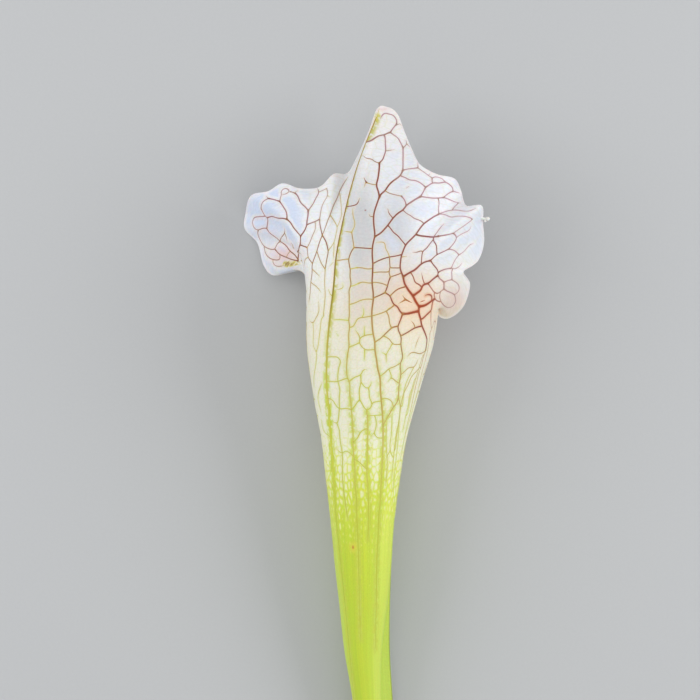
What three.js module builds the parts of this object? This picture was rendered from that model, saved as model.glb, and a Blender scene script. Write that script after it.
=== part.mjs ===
// One pitcher leaf of a white-topped trumpet pitcher plant, cut at the stalk and laid down on its mouth side.
// Millimetres. +Y runs from the cut stalk to the tip of the hood, +X is to the right as seen from above,
// and +Z is up from the surface that the leaf lies on. The leaf grew as one piece, so it is one closed body:
// a tapering tube with a keel down its front, a rolled lip round the front of the mouth, and a hood that
// stands up behind the mouth and spreads into two wavy lobes.
//
// "Around" is the angle about the tube's axis, in degrees, measured from the midrib at the back. It grows
// towards the right-hand lobe, and the keel is at 180.

import * as THREE from 'three';

// Driving dimensions

const WALL = 1.0; // thickness of the leaf
const MIDRIB_TURN = -34; // which way the midrib looks at the mouth: degrees from straight up towards +X
const LOW_TURN = -21; // how much further round it has turned low down on the tube
const LOW_TURN_FROM = 320; // height where that turn starts
const LOW_TURN_DONE = 190; // height where it is complete
const THROAT = 283; // height where the hood begins to open out of the tube
const CAVITY_FLOOR = 55; // height of the lowest point of the hollow
const FLOOR_CONE = 12; // length of the cone that the hollow ends in
const LIP_RISE = 5; // how far the middle of the lip stands above its ends
const LIP_FLARE = 1.2; // how far the lip stands outside the tube before it rolls
const LIP_ROOT = 14; // length of tube below the lip that leads up into it
const LIP_STATIONS = 6; // stations of the margin along the lip
const LIP_CURL = 235; // degrees that the lip's last strip is rolled through
const LIP_STRIP = 7.4; // width of that strip before it is rolled
const HOOD_CURL = 20; // the same two for the margin of the hood
const HOOD_STRIP = 1.5;
const CURL_FADE = 22; // degrees around in which one margin turns into the other
const TUBE_PULL = 0.45; // how long the blade keeps to the line of the tube: share of the way to its root
const ROOT_PULL = 0.35; // how far back along the blade its end is steered: share of the way to its root
const KEEL_HALF_WIDTH = 1.8; // half the keel's thickness where it leaves the tube
const KEEL_END = 308; // height where the keel has died away under the lip
const KEEL_FADE = 10; // length over which it dies away
const KEEL_TAPER = 1.5; // power by which it thins towards its edge

// Tube stations: height, x of its axis, radius, height of its axis above the surface, height of the keel.
const TUBE = [
  [0, 5.5, 3.8, 4.3, 2],
  [35, 4.6, 4.0, 5.8, 5],
  [72, 3.4, 4.5, 8.2, 7.2],
  [106, 1.9, 5.1, 11.1, 7.6],
  [131, 0.4, 5.9, 13.8, 7.2],
  [152, -1.2, 7.8, 16.1, 5.8],
  [173, -1.1, 10.2, 18.6, 3.4],
  [186, -1.2, 11.6, 20.1, 2.7],
  [205, -1.5, 13.2, 22.4, 2.4],
  [224, -1.3, 15.5, 24.6, 2.2],
  [243, -0.8, 18.2, 26.6, 2],
  [255, -0.3, 21.0, 28, 1.8],
  [268, 0.5, 23.9, 29.5, 1.6],
  [280, 1.6, 26.4, 30.8, 1.4],
  [291, 2.4, 27.4, 31.9, 1.2],
  [306, 2.9, 27.7, 33.4, 1],
  [320, 2.9, 27.7, 34.8, 0],
];

// Margin of the hood, from its left corner over the tip to its right corner: around, x, y, z, and how far
// the blade bows above the straight line that runs up to it.
const HOOD_MARGIN = [
  [-92, -20.5, 310, 16, 0],
  [-86, -25.5, 312.5, 16, 0],
  [-80, -32.5, 311, 12, 3],
  [-74, -39.5, 310, 7, 5],
  [-68, -43.3, 314.5, 5.5, 6],
  [-62, -45.7, 323.5, 3, 4],
  [-56, -51, 329.5, 1.1, 5],
  [-50, -50.8, 336, 3.5, 6],
  [-44, -48.5, 343.5, 13, 6],
  [-38, -41, 345.3, 19, 2],
  [-32, -35, 348.5, 22, 2],
  [-26, -27.5, 346.3, 27, 2],
  [-20, -19, 347.2, 31, 2],
  [-15, -13.3, 352.4, 33, 1],
  [-11, -8, 352.6, 30, 0],
  [-7, -4, 359, 27, 0],
  [-3.5, 1, 370, 26, 0],
  [0, 4.2, 378.8, 29, 0],
  [6, 9, 380.4, 28, 0],
  [12, 13.2, 377.5, 30, 1],
  [18, 16, 370.5, 34, 2],
  [24, 19, 363, 40, 2],
  [30, 22.5, 356.4, 46, 2],
  [36, 29.5, 352.2, 48, 1],
  [42, 37.3, 350.2, 44, 3],
  [47, 40, 345, 39, 4],
  [52, 42, 339, 44, 1],
  [57, 48.7, 338.7, 48, 0],
  [61, 49, 332, 41, 2],
  [66, 49.6, 324, 34, 4],
  [72, 47, 315.8, 33, 4],
  [78, 41, 311.6, 40, 1],
  [85, 43.8, 306, 35, 3],
  [92, 41, 296.6, 29, 4],
  [99, 34.5, 291.6, 27, 3],
  [104, 30.5, 293, 29, 0],
  [108, 29.5, 297.5, 31, 0],
  [112, 30, 300.5, 33, 0],
];

// Where the blade turns out of the tube and begins to spread: around, x, y, z.
const HOOD_ROOT = [
  [-92, -19, 303.5, 19],
  [-86, -20.5, 310, 21],
  [-80, -20.5, 315, 24],
  [-74, -20.5, 318.5, 26],
  [-68, -19.5, 322.5, 29],
  [-56, -19.5, 327, 32],
  [-44, -21, 328.5, 35],
  [-30, -22, 327, 41],
  [-15, -16, 329.5, 50],
  [0, -9, 335, 60],
  [18, 2.5, 335, 63],
  [30, 11, 327, 61],
  [50, 18.5, 320.5, 57],
  [65, 24, 315.5, 52],
  [80, 27.5, 310.5, 46],
  [92, 30, 305.5, 41],
  [99, 31.5, 302, 38],
  [104, 32, 300, 36],
  [108, 31.5, 299, 35],
  [112, 30, 298, 34],
];
const LEFT_CORNER = HOOD_MARGIN[0];
const RIGHT_CORNER = HOOD_MARGIN[HOOD_MARGIN.length - 1];

// How finely the body is cut into faces
const TUBE_ROWS = 15; // rings from the cut end to the throat
const BLADE_ROWS = 17; // rings from the throat to the last strip
const STRIP_ROWS = 4; // rings in that strip
const HOOD_STEP = 4.25; // degrees between the lines that run up the back
const FRONT_STEPS = [2, 5, 10, 17, 27, 38, 48, 58]; // degrees from the keel to the lines on each side of it

const radians = THREE.MathUtils.degToRad;
const smooth = (x) => THREE.MathUtils.smoothstep(x, 0, 1);

// Smooth curve through the rows of a table, read at a value of its first column. Each stretch is a cubic
// whose slope at a row is the mean of the slopes on its two sides, weighted towards the shorter side.
function curveThrough(table, at) {
  let i = 1;
  while (i < table.length - 3 && at >= table[i + 1][0]) i += 1;
  const [before, from, to, after] = table.slice(i - 1, i + 3);
  const width = to[0] - from[0];
  const u = (at - from[0]) / width;
  return from.slice(1).map((start, k) => {
    const end = to[k + 1];
    const middle = (end - start) / width;
    const first = (start - before[k + 1]) / (from[0] - before[0]);
    const last = (after[k + 1] - end) / (after[0] - to[0]);
    const left = from[0] - before[0];
    const right = after[0] - to[0];
    const slopeA = (first * width + middle * left) / (left + width);
    const slopeB = (middle * right + last * width) / (width + right);
    return (
      (2 * u ** 3 - 3 * u ** 2 + 1) * start +
      (u ** 3 - 2 * u ** 2 + u) * width * slopeA +
      (3 * u ** 2 - 2 * u ** 3) * end +
      (u ** 3 - u ** 2) * width * slopeB
    );
  });
}

// A table lengthened by one row at each end, so that its first and last stretch run on straight.
function openEnded(table) {
  const beyond = (edge, next) => edge.map((value, k) => 2 * value - next[k]);
  return [beyond(table[0], table[1]), ...table, beyond(table.at(-1), table.at(-2))];
}

// A table that goes once round the leaf, lengthened by two rows at each end from its other end.
function closedRound(table) {
  const turned = (row, by) => [row[0] + by, ...row.slice(1)];
  return [
    ...table.slice(-2).map((row) => turned(row, -360)),
    ...table,
    ...table.slice(0, 2).map((row) => turned(row, 360)),
  ];
}

const TUBE_CURVE = openEnded(TUBE);

function tubeAt(y) {
  const [x, radius, z, keel] = curveThrough(TUBE_CURVE, THREE.MathUtils.clamp(y, 0, TUBE.at(-1)[0]));
  return { x, radius, z, keel };
}

// Which way the wall looks, in radians from straight up towards +X
function facing(around, y) {
  const turned = THREE.MathUtils.clamp((LOW_TURN_FROM - y) / (LOW_TURN_FROM - LOW_TURN_DONE), 0, 1);
  return radians(around + MIDRIB_TURN + LOW_TURN * Math.sin((turned * Math.PI) / 2));
}

function onTube(around, y, outside = 0) {
  const { x, radius, z } = tubeAt(y);
  const angle = facing(around, y);
  const reach = radius + outside;
  return new THREE.Vector3(x + reach * Math.sin(angle), y, z + reach * Math.cos(angle));
}

// The lip goes on from the right corner round the front to the left corner, and rises to its middle.
function lipStations() {
  const margin = [];
  const root = [];
  const span = LEFT_CORNER[0] + 360 - RIGHT_CORNER[0];
  for (let n = 1; n <= LIP_STATIONS; n += 1) {
    const share = n / (LIP_STATIONS + 1);
    const around = RIGHT_CORNER[0] + span * share;
    const level = THREE.MathUtils.lerp(RIGHT_CORNER[2], LEFT_CORNER[2], share);
    const y = level + LIP_RISE * Math.sin(Math.PI * share) ** 2;
    margin.push([around, ...onTube(around, y, LIP_FLARE).toArray(), 0]);
    root.push([around, ...onTube(around, y - LIP_ROOT).toArray()]);
  }
  return { margin, root };
}

const LIP = lipStations();
const MARGIN_CURVE = closedRound([...HOOD_MARGIN, ...LIP.margin]);
const ROOT_CURVE = closedRound([...HOOD_ROOT, ...LIP.root]);

// 0 on the hood, 1 on the lip, and a smooth step between them past each corner
function lipShare(around) {
  const pastRight = (around - RIGHT_CORNER[0]) / CURL_FADE;
  const pastLeft = (LEFT_CORNER[0] + 360 - around) / CURL_FADE;
  return smooth(THREE.MathUtils.clamp(Math.min(pastRight, pastLeft), 0, 1));
}

// One line of the leaf from the throat to its free margin: a quartic curve that leaves along the tube,
// passes the root of the hood and ends square to the margin, and then the last strip, bent to an arc.
function lineAbove(around) {
  const [x, y, z, bow] = curveThrough(MARGIN_CURVE, around);
  const margin = new THREE.Vector3(x, y, z);
  const root = new THREE.Vector3(...curveThrough(ROOT_CURVE, around));
  const lip = lipShare(around);
  const strip = THREE.MathUtils.lerp(HOOD_STRIP, LIP_STRIP, lip);
  const curl = radians(THREE.MathUtils.lerp(HOOD_CURL, LIP_CURL, lip));

  const start = onTube(around, THROAT);
  const upTube = start.clone().sub(onTube(around, THROAT - WALL)).normalize();
  const handle = start.clone().addScaledVector(upTube, TUBE_PULL * start.distanceTo(root));
  const outward = margin.clone().sub(root).normalize();
  const end = margin.clone().addScaledVector(outward, -strip * (1 - lip));
  const pull = end.clone().lerp(root, ROOT_PULL);
  pull.z += bow;

  const points = [];
  for (let row = 1; row <= BLADE_ROWS; row += 1) {
    const t = row / BLADE_ROWS;
    const s = 1 - t;
    const point = start.clone().multiplyScalar(s ** 4);
    point.addScaledVector(handle, 4 * s ** 3 * t);
    point.addScaledVector(root, 6 * s ** 2 * t ** 2);
    point.addScaledVector(pull, 4 * s * t ** 3);
    point.addScaledVector(end, t ** 4);
    points.push(point);
  }

  const along = end.clone().sub(pull).normalize();
  const angle = facing(around, LOW_TURN_FROM);
  const outOfTube = new THREE.Vector3(Math.sin(angle), 0, Math.cos(angle));
  const back = new THREE.Vector3(0, 0, 1).lerp(outOfTube, lip);
  back.addScaledVector(along, -back.dot(along)).normalize();
  for (let row = 1; row <= STRIP_ROWS; row += 1) {
    const bend = (curl * row) / STRIP_ROWS;
    const point = end.clone().addScaledVector(along, (strip / curl) * Math.sin(bend));
    points.push(point.addScaledVector(back, (strip / curl) * (1 - Math.cos(bend))));
  }
  return points;
}

// Height of the keel above the tube at a point of the wall
function keelAt(around, y) {
  const { radius, keel } = tubeAt(y);
  const arc = Math.abs(radians(around - 180)) * radius;
  const fade = THREE.MathUtils.clamp((KEEL_END - y) / KEEL_FADE, 0, 1);
  return keel * fade * Math.max(0, 1 - arc / KEEL_HALF_WIDTH) ** KEEL_TAPER;
}

// Rings of the outer face, from the cut end up to the free margin, without the keel
function outerRings(lines) {
  const rings = [];
  for (let row = 0; row < TUBE_ROWS; row += 1) {
    const y = (THROAT * row) / (TUBE_ROWS - 1);
    rings.push(lines.map((around) => onTube(around, y)));
  }
  const above = lines.map(lineAbove);
  for (let row = 0; row < BLADE_ROWS + STRIP_ROWS; row += 1) {
    rings.push(above.map((line) => line[row]));
  }
  return rings;
}

// The same rings moved inwards by the wall's thickness, square to the face
function innerRings(rings) {
  return rings.map((ring, row) => {
    const below = rings[Math.max(row - 1, 0)];
    const above = rings[Math.min(row + 1, rings.length - 1)];
    return ring.map((point, column) => {
      const count = ring.length;
      const across = ring[(column + 1) % count].clone().sub(ring[(column + count - 1) % count]);
      const along = above[column].clone().sub(below[column]);
      return point.clone().addScaledVector(across.cross(along).normalize(), -WALL);
    });
  });
}

// One closed skin over a stack of rings, with a point at each end of the stack
function closedSkin(first, rings, last) {
  const points = [first, ...rings.flat(), last];
  const count = rings[0].length;
  const faces = [];
  const at = (row, column) => 1 + row * count + (column % count);
  for (let column = 0; column < count; column += 1) {
    faces.push(0, at(0, column + 1), at(0, column));
    for (let row = 0; row < rings.length - 1; row += 1) {
      const [a, b] = [at(row, column), at(row, column + 1)];
      const [c, d] = [at(row + 1, column + 1), at(row + 1, column)];
      faces.push(a, b, c, a, c, d);
    }
    faces.push(points.length - 1, at(rings.length - 1, column), at(rings.length - 1, column + 1));
  }
  const geometry = new THREE.BufferGeometry().setFromPoints(points);
  geometry.setIndex(faces);
  return geometry;
}

// Where lines run up the leaf: evenly over the back, and closer together the nearer they are to the keel
function linesAround() {
  const [first, last] = [LEFT_CORNER[0], RIGHT_CORNER[0]];
  const count = Math.round((last - first) / HOOD_STEP);
  const back = Array.from({ length: count + 1 }, (_, n) => THREE.MathUtils.lerp(first, last, n / count));
  const beforeKeel = FRONT_STEPS.map((step) => 180 - step).reverse();
  const pastKeel = FRONT_STEPS.map((step) => 180 + step);
  return [...back, ...beforeKeel, ...pastKeel];
}

function pitcherGeometry() {
  const lines = linesAround();
  const plain = outerRings(lines);
  const inner = innerRings(plain).filter((ring) => ring[0].y > CAVITY_FLOOR + FLOOR_CONE);
  const outer = plain.map((ring) =>
    ring.map((point, column) => {
      const { x, z } = tubeAt(point.y);
      const away = point.clone().sub(new THREE.Vector3(x, point.y, z)).normalize();
      return point.clone().addScaledVector(away, keelAt(lines[column], point.y));
    }),
  );

  const cutEnd = new THREE.Vector3(tubeAt(0).x, 0, tubeAt(0).z);
  const floor = new THREE.Vector3(tubeAt(CAVITY_FLOOR).x, CAVITY_FLOOR, tubeAt(CAVITY_FLOOR).z);
  const geometry = closedSkin(cutEnd, [...outer, ...inner.reverse()], floor);

  // The origin is under the middle of the leaf, on the surface that it lies on.
  geometry.computeBoundingBox();
  const middle = geometry.boundingBox.getCenter(new THREE.Vector3());
  geometry.translate(-middle.x, -middle.y, -geometry.boundingBox.min.z);
  geometry.computeVertexNormals();
  return geometry;
}

// White, waxy leaf tissue
const leaf = new THREE.MeshStandardMaterial({ color: 0xe4e6d8, roughness: 0.45, metalness: 0 });

const pitcher = new THREE.Mesh(pitcherGeometry(), leaf);
pitcher.name = 'pitcher';

const part = new THREE.Group();
part.add(pitcher);

export default part;
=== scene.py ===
# %% [markdown]
# # A pitcher leaf, laid down
#
# The object is one cut leaf of a white-topped trumpet pitcher. The leaf is a tapering tube with a rolled
# lip round the front of its mouth, and behind the mouth it spreads into a wavy, lobed hood. The hood is
# white with a net of crimson veins, and the tube passes through a zone of pale windows into yellow-green.
#
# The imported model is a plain, closed solid of the right shape. This script keeps that shape, gives it a
# finer skin, and grows the veins in it.

import bpy
import numpy as np
from mathutils.geometry import delaunay_2d_cdt
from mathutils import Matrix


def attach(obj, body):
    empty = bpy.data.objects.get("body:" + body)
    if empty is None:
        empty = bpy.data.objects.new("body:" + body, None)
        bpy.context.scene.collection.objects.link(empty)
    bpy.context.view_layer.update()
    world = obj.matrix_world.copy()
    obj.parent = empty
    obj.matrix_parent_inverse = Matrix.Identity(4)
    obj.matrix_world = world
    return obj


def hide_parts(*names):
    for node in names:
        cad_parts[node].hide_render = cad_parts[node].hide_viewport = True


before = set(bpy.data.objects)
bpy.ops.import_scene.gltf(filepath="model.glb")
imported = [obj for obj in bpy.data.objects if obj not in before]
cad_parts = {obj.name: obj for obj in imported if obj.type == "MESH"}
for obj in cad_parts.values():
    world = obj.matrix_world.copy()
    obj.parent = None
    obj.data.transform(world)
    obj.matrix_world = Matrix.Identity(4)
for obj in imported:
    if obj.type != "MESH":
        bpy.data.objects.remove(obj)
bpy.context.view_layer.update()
cad_points = np.array([v.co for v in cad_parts["pitcher"].data.vertices]) * 1000

# %% [markdown]
# ## The shape of the leaf
#
# A leaf like this could be sculpted, or modelled as a cage under a Subdivision Surface. Here it is worked
# out, because the veins have to know exactly where the skin is. Every point of the skin has two numbers:
# the angle "around" the tube, measured from the midrib at the back, and the way up from the cut end to the
# free margin.
#
# The tables below are the leaf's driving dimensions in millimetres, with +Y from the cut end to the tip.
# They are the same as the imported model's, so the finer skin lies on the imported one.

# %% Driving dimensions
MIDRIB_TURN = -34.0  # which way the midrib looks at the mouth: degrees from straight up towards +X
LOW_TURN = -21.0  # how much further round it has turned low down on the tube
LOW_TURN_FROM, LOW_TURN_DONE = 320.0, 190.0
THROAT = 283.0  # height where the hood begins to open out of the tube
CAVITY_FLOOR, FLOOR_CONE = 55.0, 12.0
LIP_RISE, LIP_FLARE, LIP_ROOT, LIP_STATIONS = 5.0, 1.2, 14.0, 6
LIP_CURL, LIP_STRIP = 235.0, 7.4  # degrees and width of the rolled strip of the lip
HOOD_CURL, HOOD_STRIP = 20.0, 1.5  # the same for the margin of the hood
CURL_FADE = 22.0
TUBE_PULL, ROOT_PULL = 0.45, 0.35
KEEL_HALF_WIDTH, KEEL_END, KEEL_FADE, KEEL_TAPER = 1.8, 308.0, 10.0, 1.5

# Height, x of the tube's axis, radius, height of the axis above the surface, height of the keel
TUBE = [
    (0, 5.5, 3.8, 4.3, 2), (35, 4.6, 4.0, 5.8, 5), (72, 3.4, 4.5, 8.2, 7.2), (106, 1.9, 5.1, 11.1, 7.6),
    (131, 0.4, 5.9, 13.8, 7.2), (152, -1.2, 7.8, 16.1, 5.8), (173, -1.1, 10.2, 18.6, 3.4),
    (186, -1.2, 11.6, 20.1, 2.7), (205, -1.5, 13.2, 22.4, 2.4), (224, -1.3, 15.5, 24.6, 2.2),
    (243, -0.8, 18.2, 26.6, 2), (255, -0.3, 21.0, 28, 1.8), (268, 0.5, 23.9, 29.5, 1.6),
    (280, 1.6, 26.4, 30.8, 1.4), (291, 2.4, 27.4, 31.9, 1.2), (306, 2.9, 27.7, 33.4, 1),
    (320, 2.9, 27.7, 34.8, 0),
]

# Margin of the hood: around, x, y, z, and how far the blade bows above the straight line up to it
HOOD_MARGIN = [
    (-92, -20.5, 310, 16, 0), (-86, -25.5, 312.5, 16, 0), (-80, -32.5, 311, 12, 3), (-74, -39.5, 310, 7, 5),
    (-68, -43.3, 314.5, 5.5, 6), (-62, -45.7, 323.5, 3, 4), (-56, -51, 329.5, 1.1, 5),
    (-50, -50.8, 336, 3.5, 6), (-44, -48.5, 343.5, 13, 6), (-38, -41, 345.3, 19, 2),
    (-32, -35, 348.5, 22, 2), (-26, -27.5, 346.3, 27, 2),
    (-20, -19, 347.2, 31, 2), (-15, -13.3, 352.4, 33, 1), (-11, -8, 352.6, 30, 0), (-7, -4, 359, 27, 0),
    (-3.5, 1.0, 370, 26, 0), (0, 4.2, 378.8, 29, 0), (6, 9.0, 380.4, 28, 0), (12, 13.2, 377.5, 30, 1),
    (18, 16, 370.5, 34, 2), (24, 19, 363, 40, 2), (30, 22.5, 356.4, 46, 2), (36, 29.5, 352.2, 48, 1),
    (42, 37.3, 350.2, 44, 3), (47, 40, 345, 39, 4), (52, 42, 339, 44, 1), (57, 48.7, 338.7, 48, 0),
    (61, 49, 332, 41, 2), (66, 49.6, 324, 34, 4), (72, 47, 315.8, 33, 4), (78, 41, 311.6, 40, 1),
    (85, 43.8, 306, 35, 3), (92, 41, 296.6, 29, 4), (99, 34.5, 291.6, 27, 3), (104, 30.5, 293, 29, 0),
    (108, 29.5, 297.5, 31, 0), (112, 30, 300.5, 33, 0),
]

# Where the blade turns out of the tube and begins to spread: around, x, y, z
HOOD_ROOT = [
    (-92, -19, 303.5, 19), (-86, -20.5, 310, 21), (-80, -20.5, 315, 24), (-74, -20.5, 318.5, 26),
    (-68, -19.5, 322.5, 29), (-56, -19.5, 327, 32), (-44, -21, 328.5, 35), (-30, -22, 327, 41),
    (-15, -16, 329.5, 50), (0, -9, 335, 60), (18, 2.5, 335, 63), (30, 11, 327, 61), (50, 18.5, 320.5, 57),
    (65, 24, 315.5, 52), (80, 27.5, 310.5, 46), (92, 30, 305.5, 41), (99, 31.5, 302, 38), (104, 32, 300, 36),
    (108, 31.5, 299, 35), (112, 30, 298, 34),
]

print("rows of tube, margin and root:", len(TUBE), len(HOOD_MARGIN), len(HOOD_ROOT))

# %% [markdown]
# A smooth curve through the rows of a table does most of the work. Blender's own curves could do it, but a
# formula gives any number of points at once, as one array.

# %% Curves and the tube
def curve_through(table, at):
    """Cubic through the rows, read at values of the first column. The slope at a row is the mean of the
    slopes on its two sides, weighted towards the shorter side."""
    table = np.asarray(table, float)
    knots, rows = table[:, 0], table[:, 1:]
    steps = np.diff(knots)[:, None]
    slopes = np.diff(rows, axis=0) / steps
    middle = (slopes[:-1] * steps[1:] + slopes[1:] * steps[:-1]) / (steps[:-1] + steps[1:])
    slope = np.vstack([middle[:1], middle, middle[-1:]])
    i = np.clip(np.searchsorted(knots, at, side="right") - 1, 1, len(knots) - 3)
    width = steps[i]
    u = (np.asarray(at) - knots[i])[..., None] / width
    return (
        (2 * u**3 - 3 * u**2 + 1) * rows[i]
        + (u**3 - 2 * u**2 + u) * width * slope[i]
        + (3 * u**2 - 2 * u**3) * rows[i + 1]
        + (u**3 - u**2) * width * slope[i + 1]
    )


def open_ended(table):
    """The table with one more row at each end, so that its first and last stretch run on straight."""
    table = np.asarray(table, float)
    return np.vstack([2 * table[0] - table[1], table, 2 * table[-1] - table[-2]])


def closed_round(table):
    """A table that goes once round the leaf, with two more rows at each end from its other end."""
    table = np.asarray(table, float)
    turn = np.zeros(table.shape[1])
    turn[0] = 360
    return np.vstack([table[-2:] - turn, table, table[:2] + turn])


def unit(vectors):
    """Vectors over their own lengths."""
    return vectors / np.maximum(np.linalg.norm(vectors, axis=-1, keepdims=True), 1e-9)


def smooth(x):
    """Smooth step: 0 below 0, 1 above 1, and 3x² - 2x³ between."""
    x = np.clip(x, 0, 1)
    return x * x * (3 - 2 * x)


def tube_at(y):
    """x of the axis, radius, height of the axis and height of the keel at heights y."""
    return np.moveaxis(curve_through(open_ended(TUBE), np.clip(y, 0, TUBE[-1][0])), -1, 0)


def facing(around, y):
    """Which way the wall looks, in radians from straight up: the angle around plus the leaf's own turn
    there."""
    turned = np.clip((LOW_TURN_FROM - y) / (LOW_TURN_FROM - LOW_TURN_DONE), 0, 1)
    return np.radians(around + MIDRIB_TURN + LOW_TURN * np.sin(turned * np.pi / 2))


def on_tube(around, y, outside=0.0):
    """Circle of the tube's radius plus outside, about the axis, at the angle that the wall looks."""
    around, y = np.broadcast_arrays(np.asarray(around, float), y)
    x, radius, z, _ = tube_at(y)
    angle = facing(around, y)
    reach = radius + outside
    return np.stack([x + reach * np.sin(angle), y, z + reach * np.cos(angle)], -1)


print("tube at the throat, mm across:", round(float(2 * tube_at(THROAT)[1]), 1))

# %% [markdown]
# Above the throat each line up the leaf is a curve of four stretches of control: it leaves along the tube,
# passes the root of the hood and ends square to the margin. Its last strip is bent to an arc, which is
# slight on the hood and more than half a turn on the lip.

# %% The blade above the throat
LEFT_CORNER, RIGHT_CORNER = HOOD_MARGIN[0], HOOD_MARGIN[-1]


def lip_stations():
    """Even steps round the front from the right corner to the left one, raised by the square of a sine."""
    share = np.arange(1, LIP_STATIONS + 1) / (LIP_STATIONS + 1)
    around = RIGHT_CORNER[0] + (LEFT_CORNER[0] + 360 - RIGHT_CORNER[0]) * share
    level = RIGHT_CORNER[2] + (LEFT_CORNER[2] - RIGHT_CORNER[2]) * share
    y = level + LIP_RISE * np.sin(np.pi * share) ** 2
    margin = np.column_stack([around, on_tube(around, y, LIP_FLARE), np.zeros(LIP_STATIONS)])
    root = np.column_stack([around, on_tube(around, y - LIP_ROOT)])
    return margin, root


LIP_MARGIN, LIP_ROOTS = lip_stations()
MARGIN_CURVE = closed_round(np.vstack([HOOD_MARGIN, LIP_MARGIN]))
ROOT_CURVE = closed_round(np.vstack([HOOD_ROOT, LIP_ROOTS]))


def lip_share(around):
    """0 on the hood and 1 on the lip, with a smooth step past each corner."""
    past_right = (around - RIGHT_CORNER[0]) / CURL_FADE
    past_left = (LEFT_CORNER[0] + 360 - around) / CURL_FADE
    return smooth(np.minimum(past_right, past_left))


def blade(around, shares, strip_rows):
    """Rows of points above the throat: a Bézier curve of fourth order at the shares, then the strip as an
    arc."""
    reading = curve_through(MARGIN_CURVE, around)
    margin, bow = reading[:, :3], reading[:, 3]
    root = curve_through(ROOT_CURVE, around)
    lip = lip_share(around)[:, None]
    strip = HOOD_STRIP + (LIP_STRIP - HOOD_STRIP) * lip
    curl = np.radians(HOOD_CURL + (LIP_CURL - HOOD_CURL) * lip)

    start = on_tube(around, THROAT)
    up_tube = unit(start - on_tube(around, THROAT - 1))
    handle = start + TUBE_PULL * np.linalg.norm(start - root, axis=1, keepdims=True) * up_tube
    end = margin - strip * (1 - lip) * unit(margin - root)
    pull = end + ROOT_PULL * (root - end)
    pull[:, 2] += bow
    t = np.asarray(shares)[:, None, None]
    s = 1 - t
    rows = s**4 * start + 4 * s**3 * t * handle + 6 * s**2 * t**2 * root + 4 * s * t**3 * pull + t**4 * end

    along = unit(end - pull)
    angle = facing(around, LOW_TURN_FROM)
    out_of_tube = np.column_stack([np.sin(angle), np.zeros_like(angle), np.cos(angle)])
    back = np.array([0.0, 0.0, 1.0]) * (1 - lip) + out_of_tube * lip
    back = unit(back - np.sum(back * along, axis=1, keepdims=True) * along)
    bend = curl * (np.arange(1, strip_rows + 1) / strip_rows)[:, None, None]
    arc = end + strip / curl * (np.sin(bend) * along + (1 - np.cos(bend)) * back)
    return np.concatenate([rows, arc])


def keel_height(around, points):
    """Height of the keel above the tube: full at the front line, and thinning to nothing at its half
    width."""
    _, radius, _, keel = tube_at(points[..., 1])
    arc = np.abs(np.radians(around - 180)) * radius
    fade = np.clip((KEEL_END - points[..., 1]) / KEEL_FADE, 0, 1)
    return keel * fade * np.clip(1 - arc / KEEL_HALF_WIDTH, 0, None) ** KEEL_TAPER


print("highest place of the hood's margin, mm from the cut end:", round(MARGIN_CURVE[:, 2].max(), 1))

# %% [markdown]
# ## The grid
#
# The skin is one grid of lines up the leaf and rings round it. The lines lie closer together on the hood,
# where the margin waves, and the rings closer together where the colour changes. A line runs exactly up the
# crest of the keel, because the pattern's seam is hidden there.

# %% Lines and rings of the skin
HOOD_STEP, FRONT_STEP = 0.6, 1.6  # degrees between lines
RING_STRETCHES = [(0, 131, 26), (131, 200, 28), (200, THROAT, 56)]  # from height, to height, rings
BLADE_RINGS, STRIP_RINGS = 60, 6

hood_lines = np.arange(LEFT_CORNER[0], RIGHT_CORNER[0], HOOD_STEP)
right_steps = round((180 - RIGHT_CORNER[0]) / FRONT_STEP)
left_steps = round((LEFT_CORNER[0] + 180) / FRONT_STEP)
right_front = np.linspace(RIGHT_CORNER[0], 180, right_steps, endpoint=False)
left_front = np.linspace(180, LEFT_CORNER[0] + 360, left_steps, endpoint=False)
AROUND = np.concatenate([hood_lines, right_front, left_front])
if len(AROUND) % 2:
    AROUND = np.delete(AROUND, 1)
LINES = len(AROUND)

stretches = [np.linspace(start, end, count, endpoint=False) for start, end, count in RING_STRETCHES]
ring_heights = np.concatenate(stretches + [[THROAT]])
plain = np.concatenate([
    on_tube(AROUND[None, :], ring_heights[:, None]),
    blade(AROUND, np.arange(1, BLADE_RINGS + 1) / BLADE_RINGS, STRIP_RINGS),
])
RINGS = len(plain)


def grid_normals(grid):
    """Unit vector out of the skin: the cross product of the way round and the way up."""
    round_way = np.roll(grid, -1, axis=1) - np.roll(grid, 1, axis=1)
    up_way = np.gradient(grid, axis=0)
    return unit(np.cross(round_way, up_way))


axis_x, _, axis_z, _ = tube_at(plain[..., 1])
from_axis = unit(plain - np.stack([axis_x, plain[..., 1], axis_z], -1))
skin = plain + from_axis * keel_height(AROUND[None, :], plain)[..., None]
plain_out = grid_normals(plain)
print("grid:", RINGS, "rings of", LINES, "lines")

# %% [markdown]
# The tables have their own origin. The cut end has one point on the tube's axis, and the same point in the
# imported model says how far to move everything.

# %% Place in the row frame
CUT_TOLERANCE = 0.01  # millimetres
end_points = cad_points[cad_points[:, 1] < cad_points[:, 1].min() + CUT_TOLERANCE]
spread = np.linalg.norm(end_points[:, None] - end_points[None], axis=-1).max(axis=1)
END_AXIS = np.array([TUBE[0][1], 0.0, TUBE[0][3]])
SHIFT = end_points[spread.argmin()] - END_AXIS


def placed(points):
    """Millimetres of the tables to metres of the row frame."""
    return (points + SHIFT) / 1000
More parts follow.
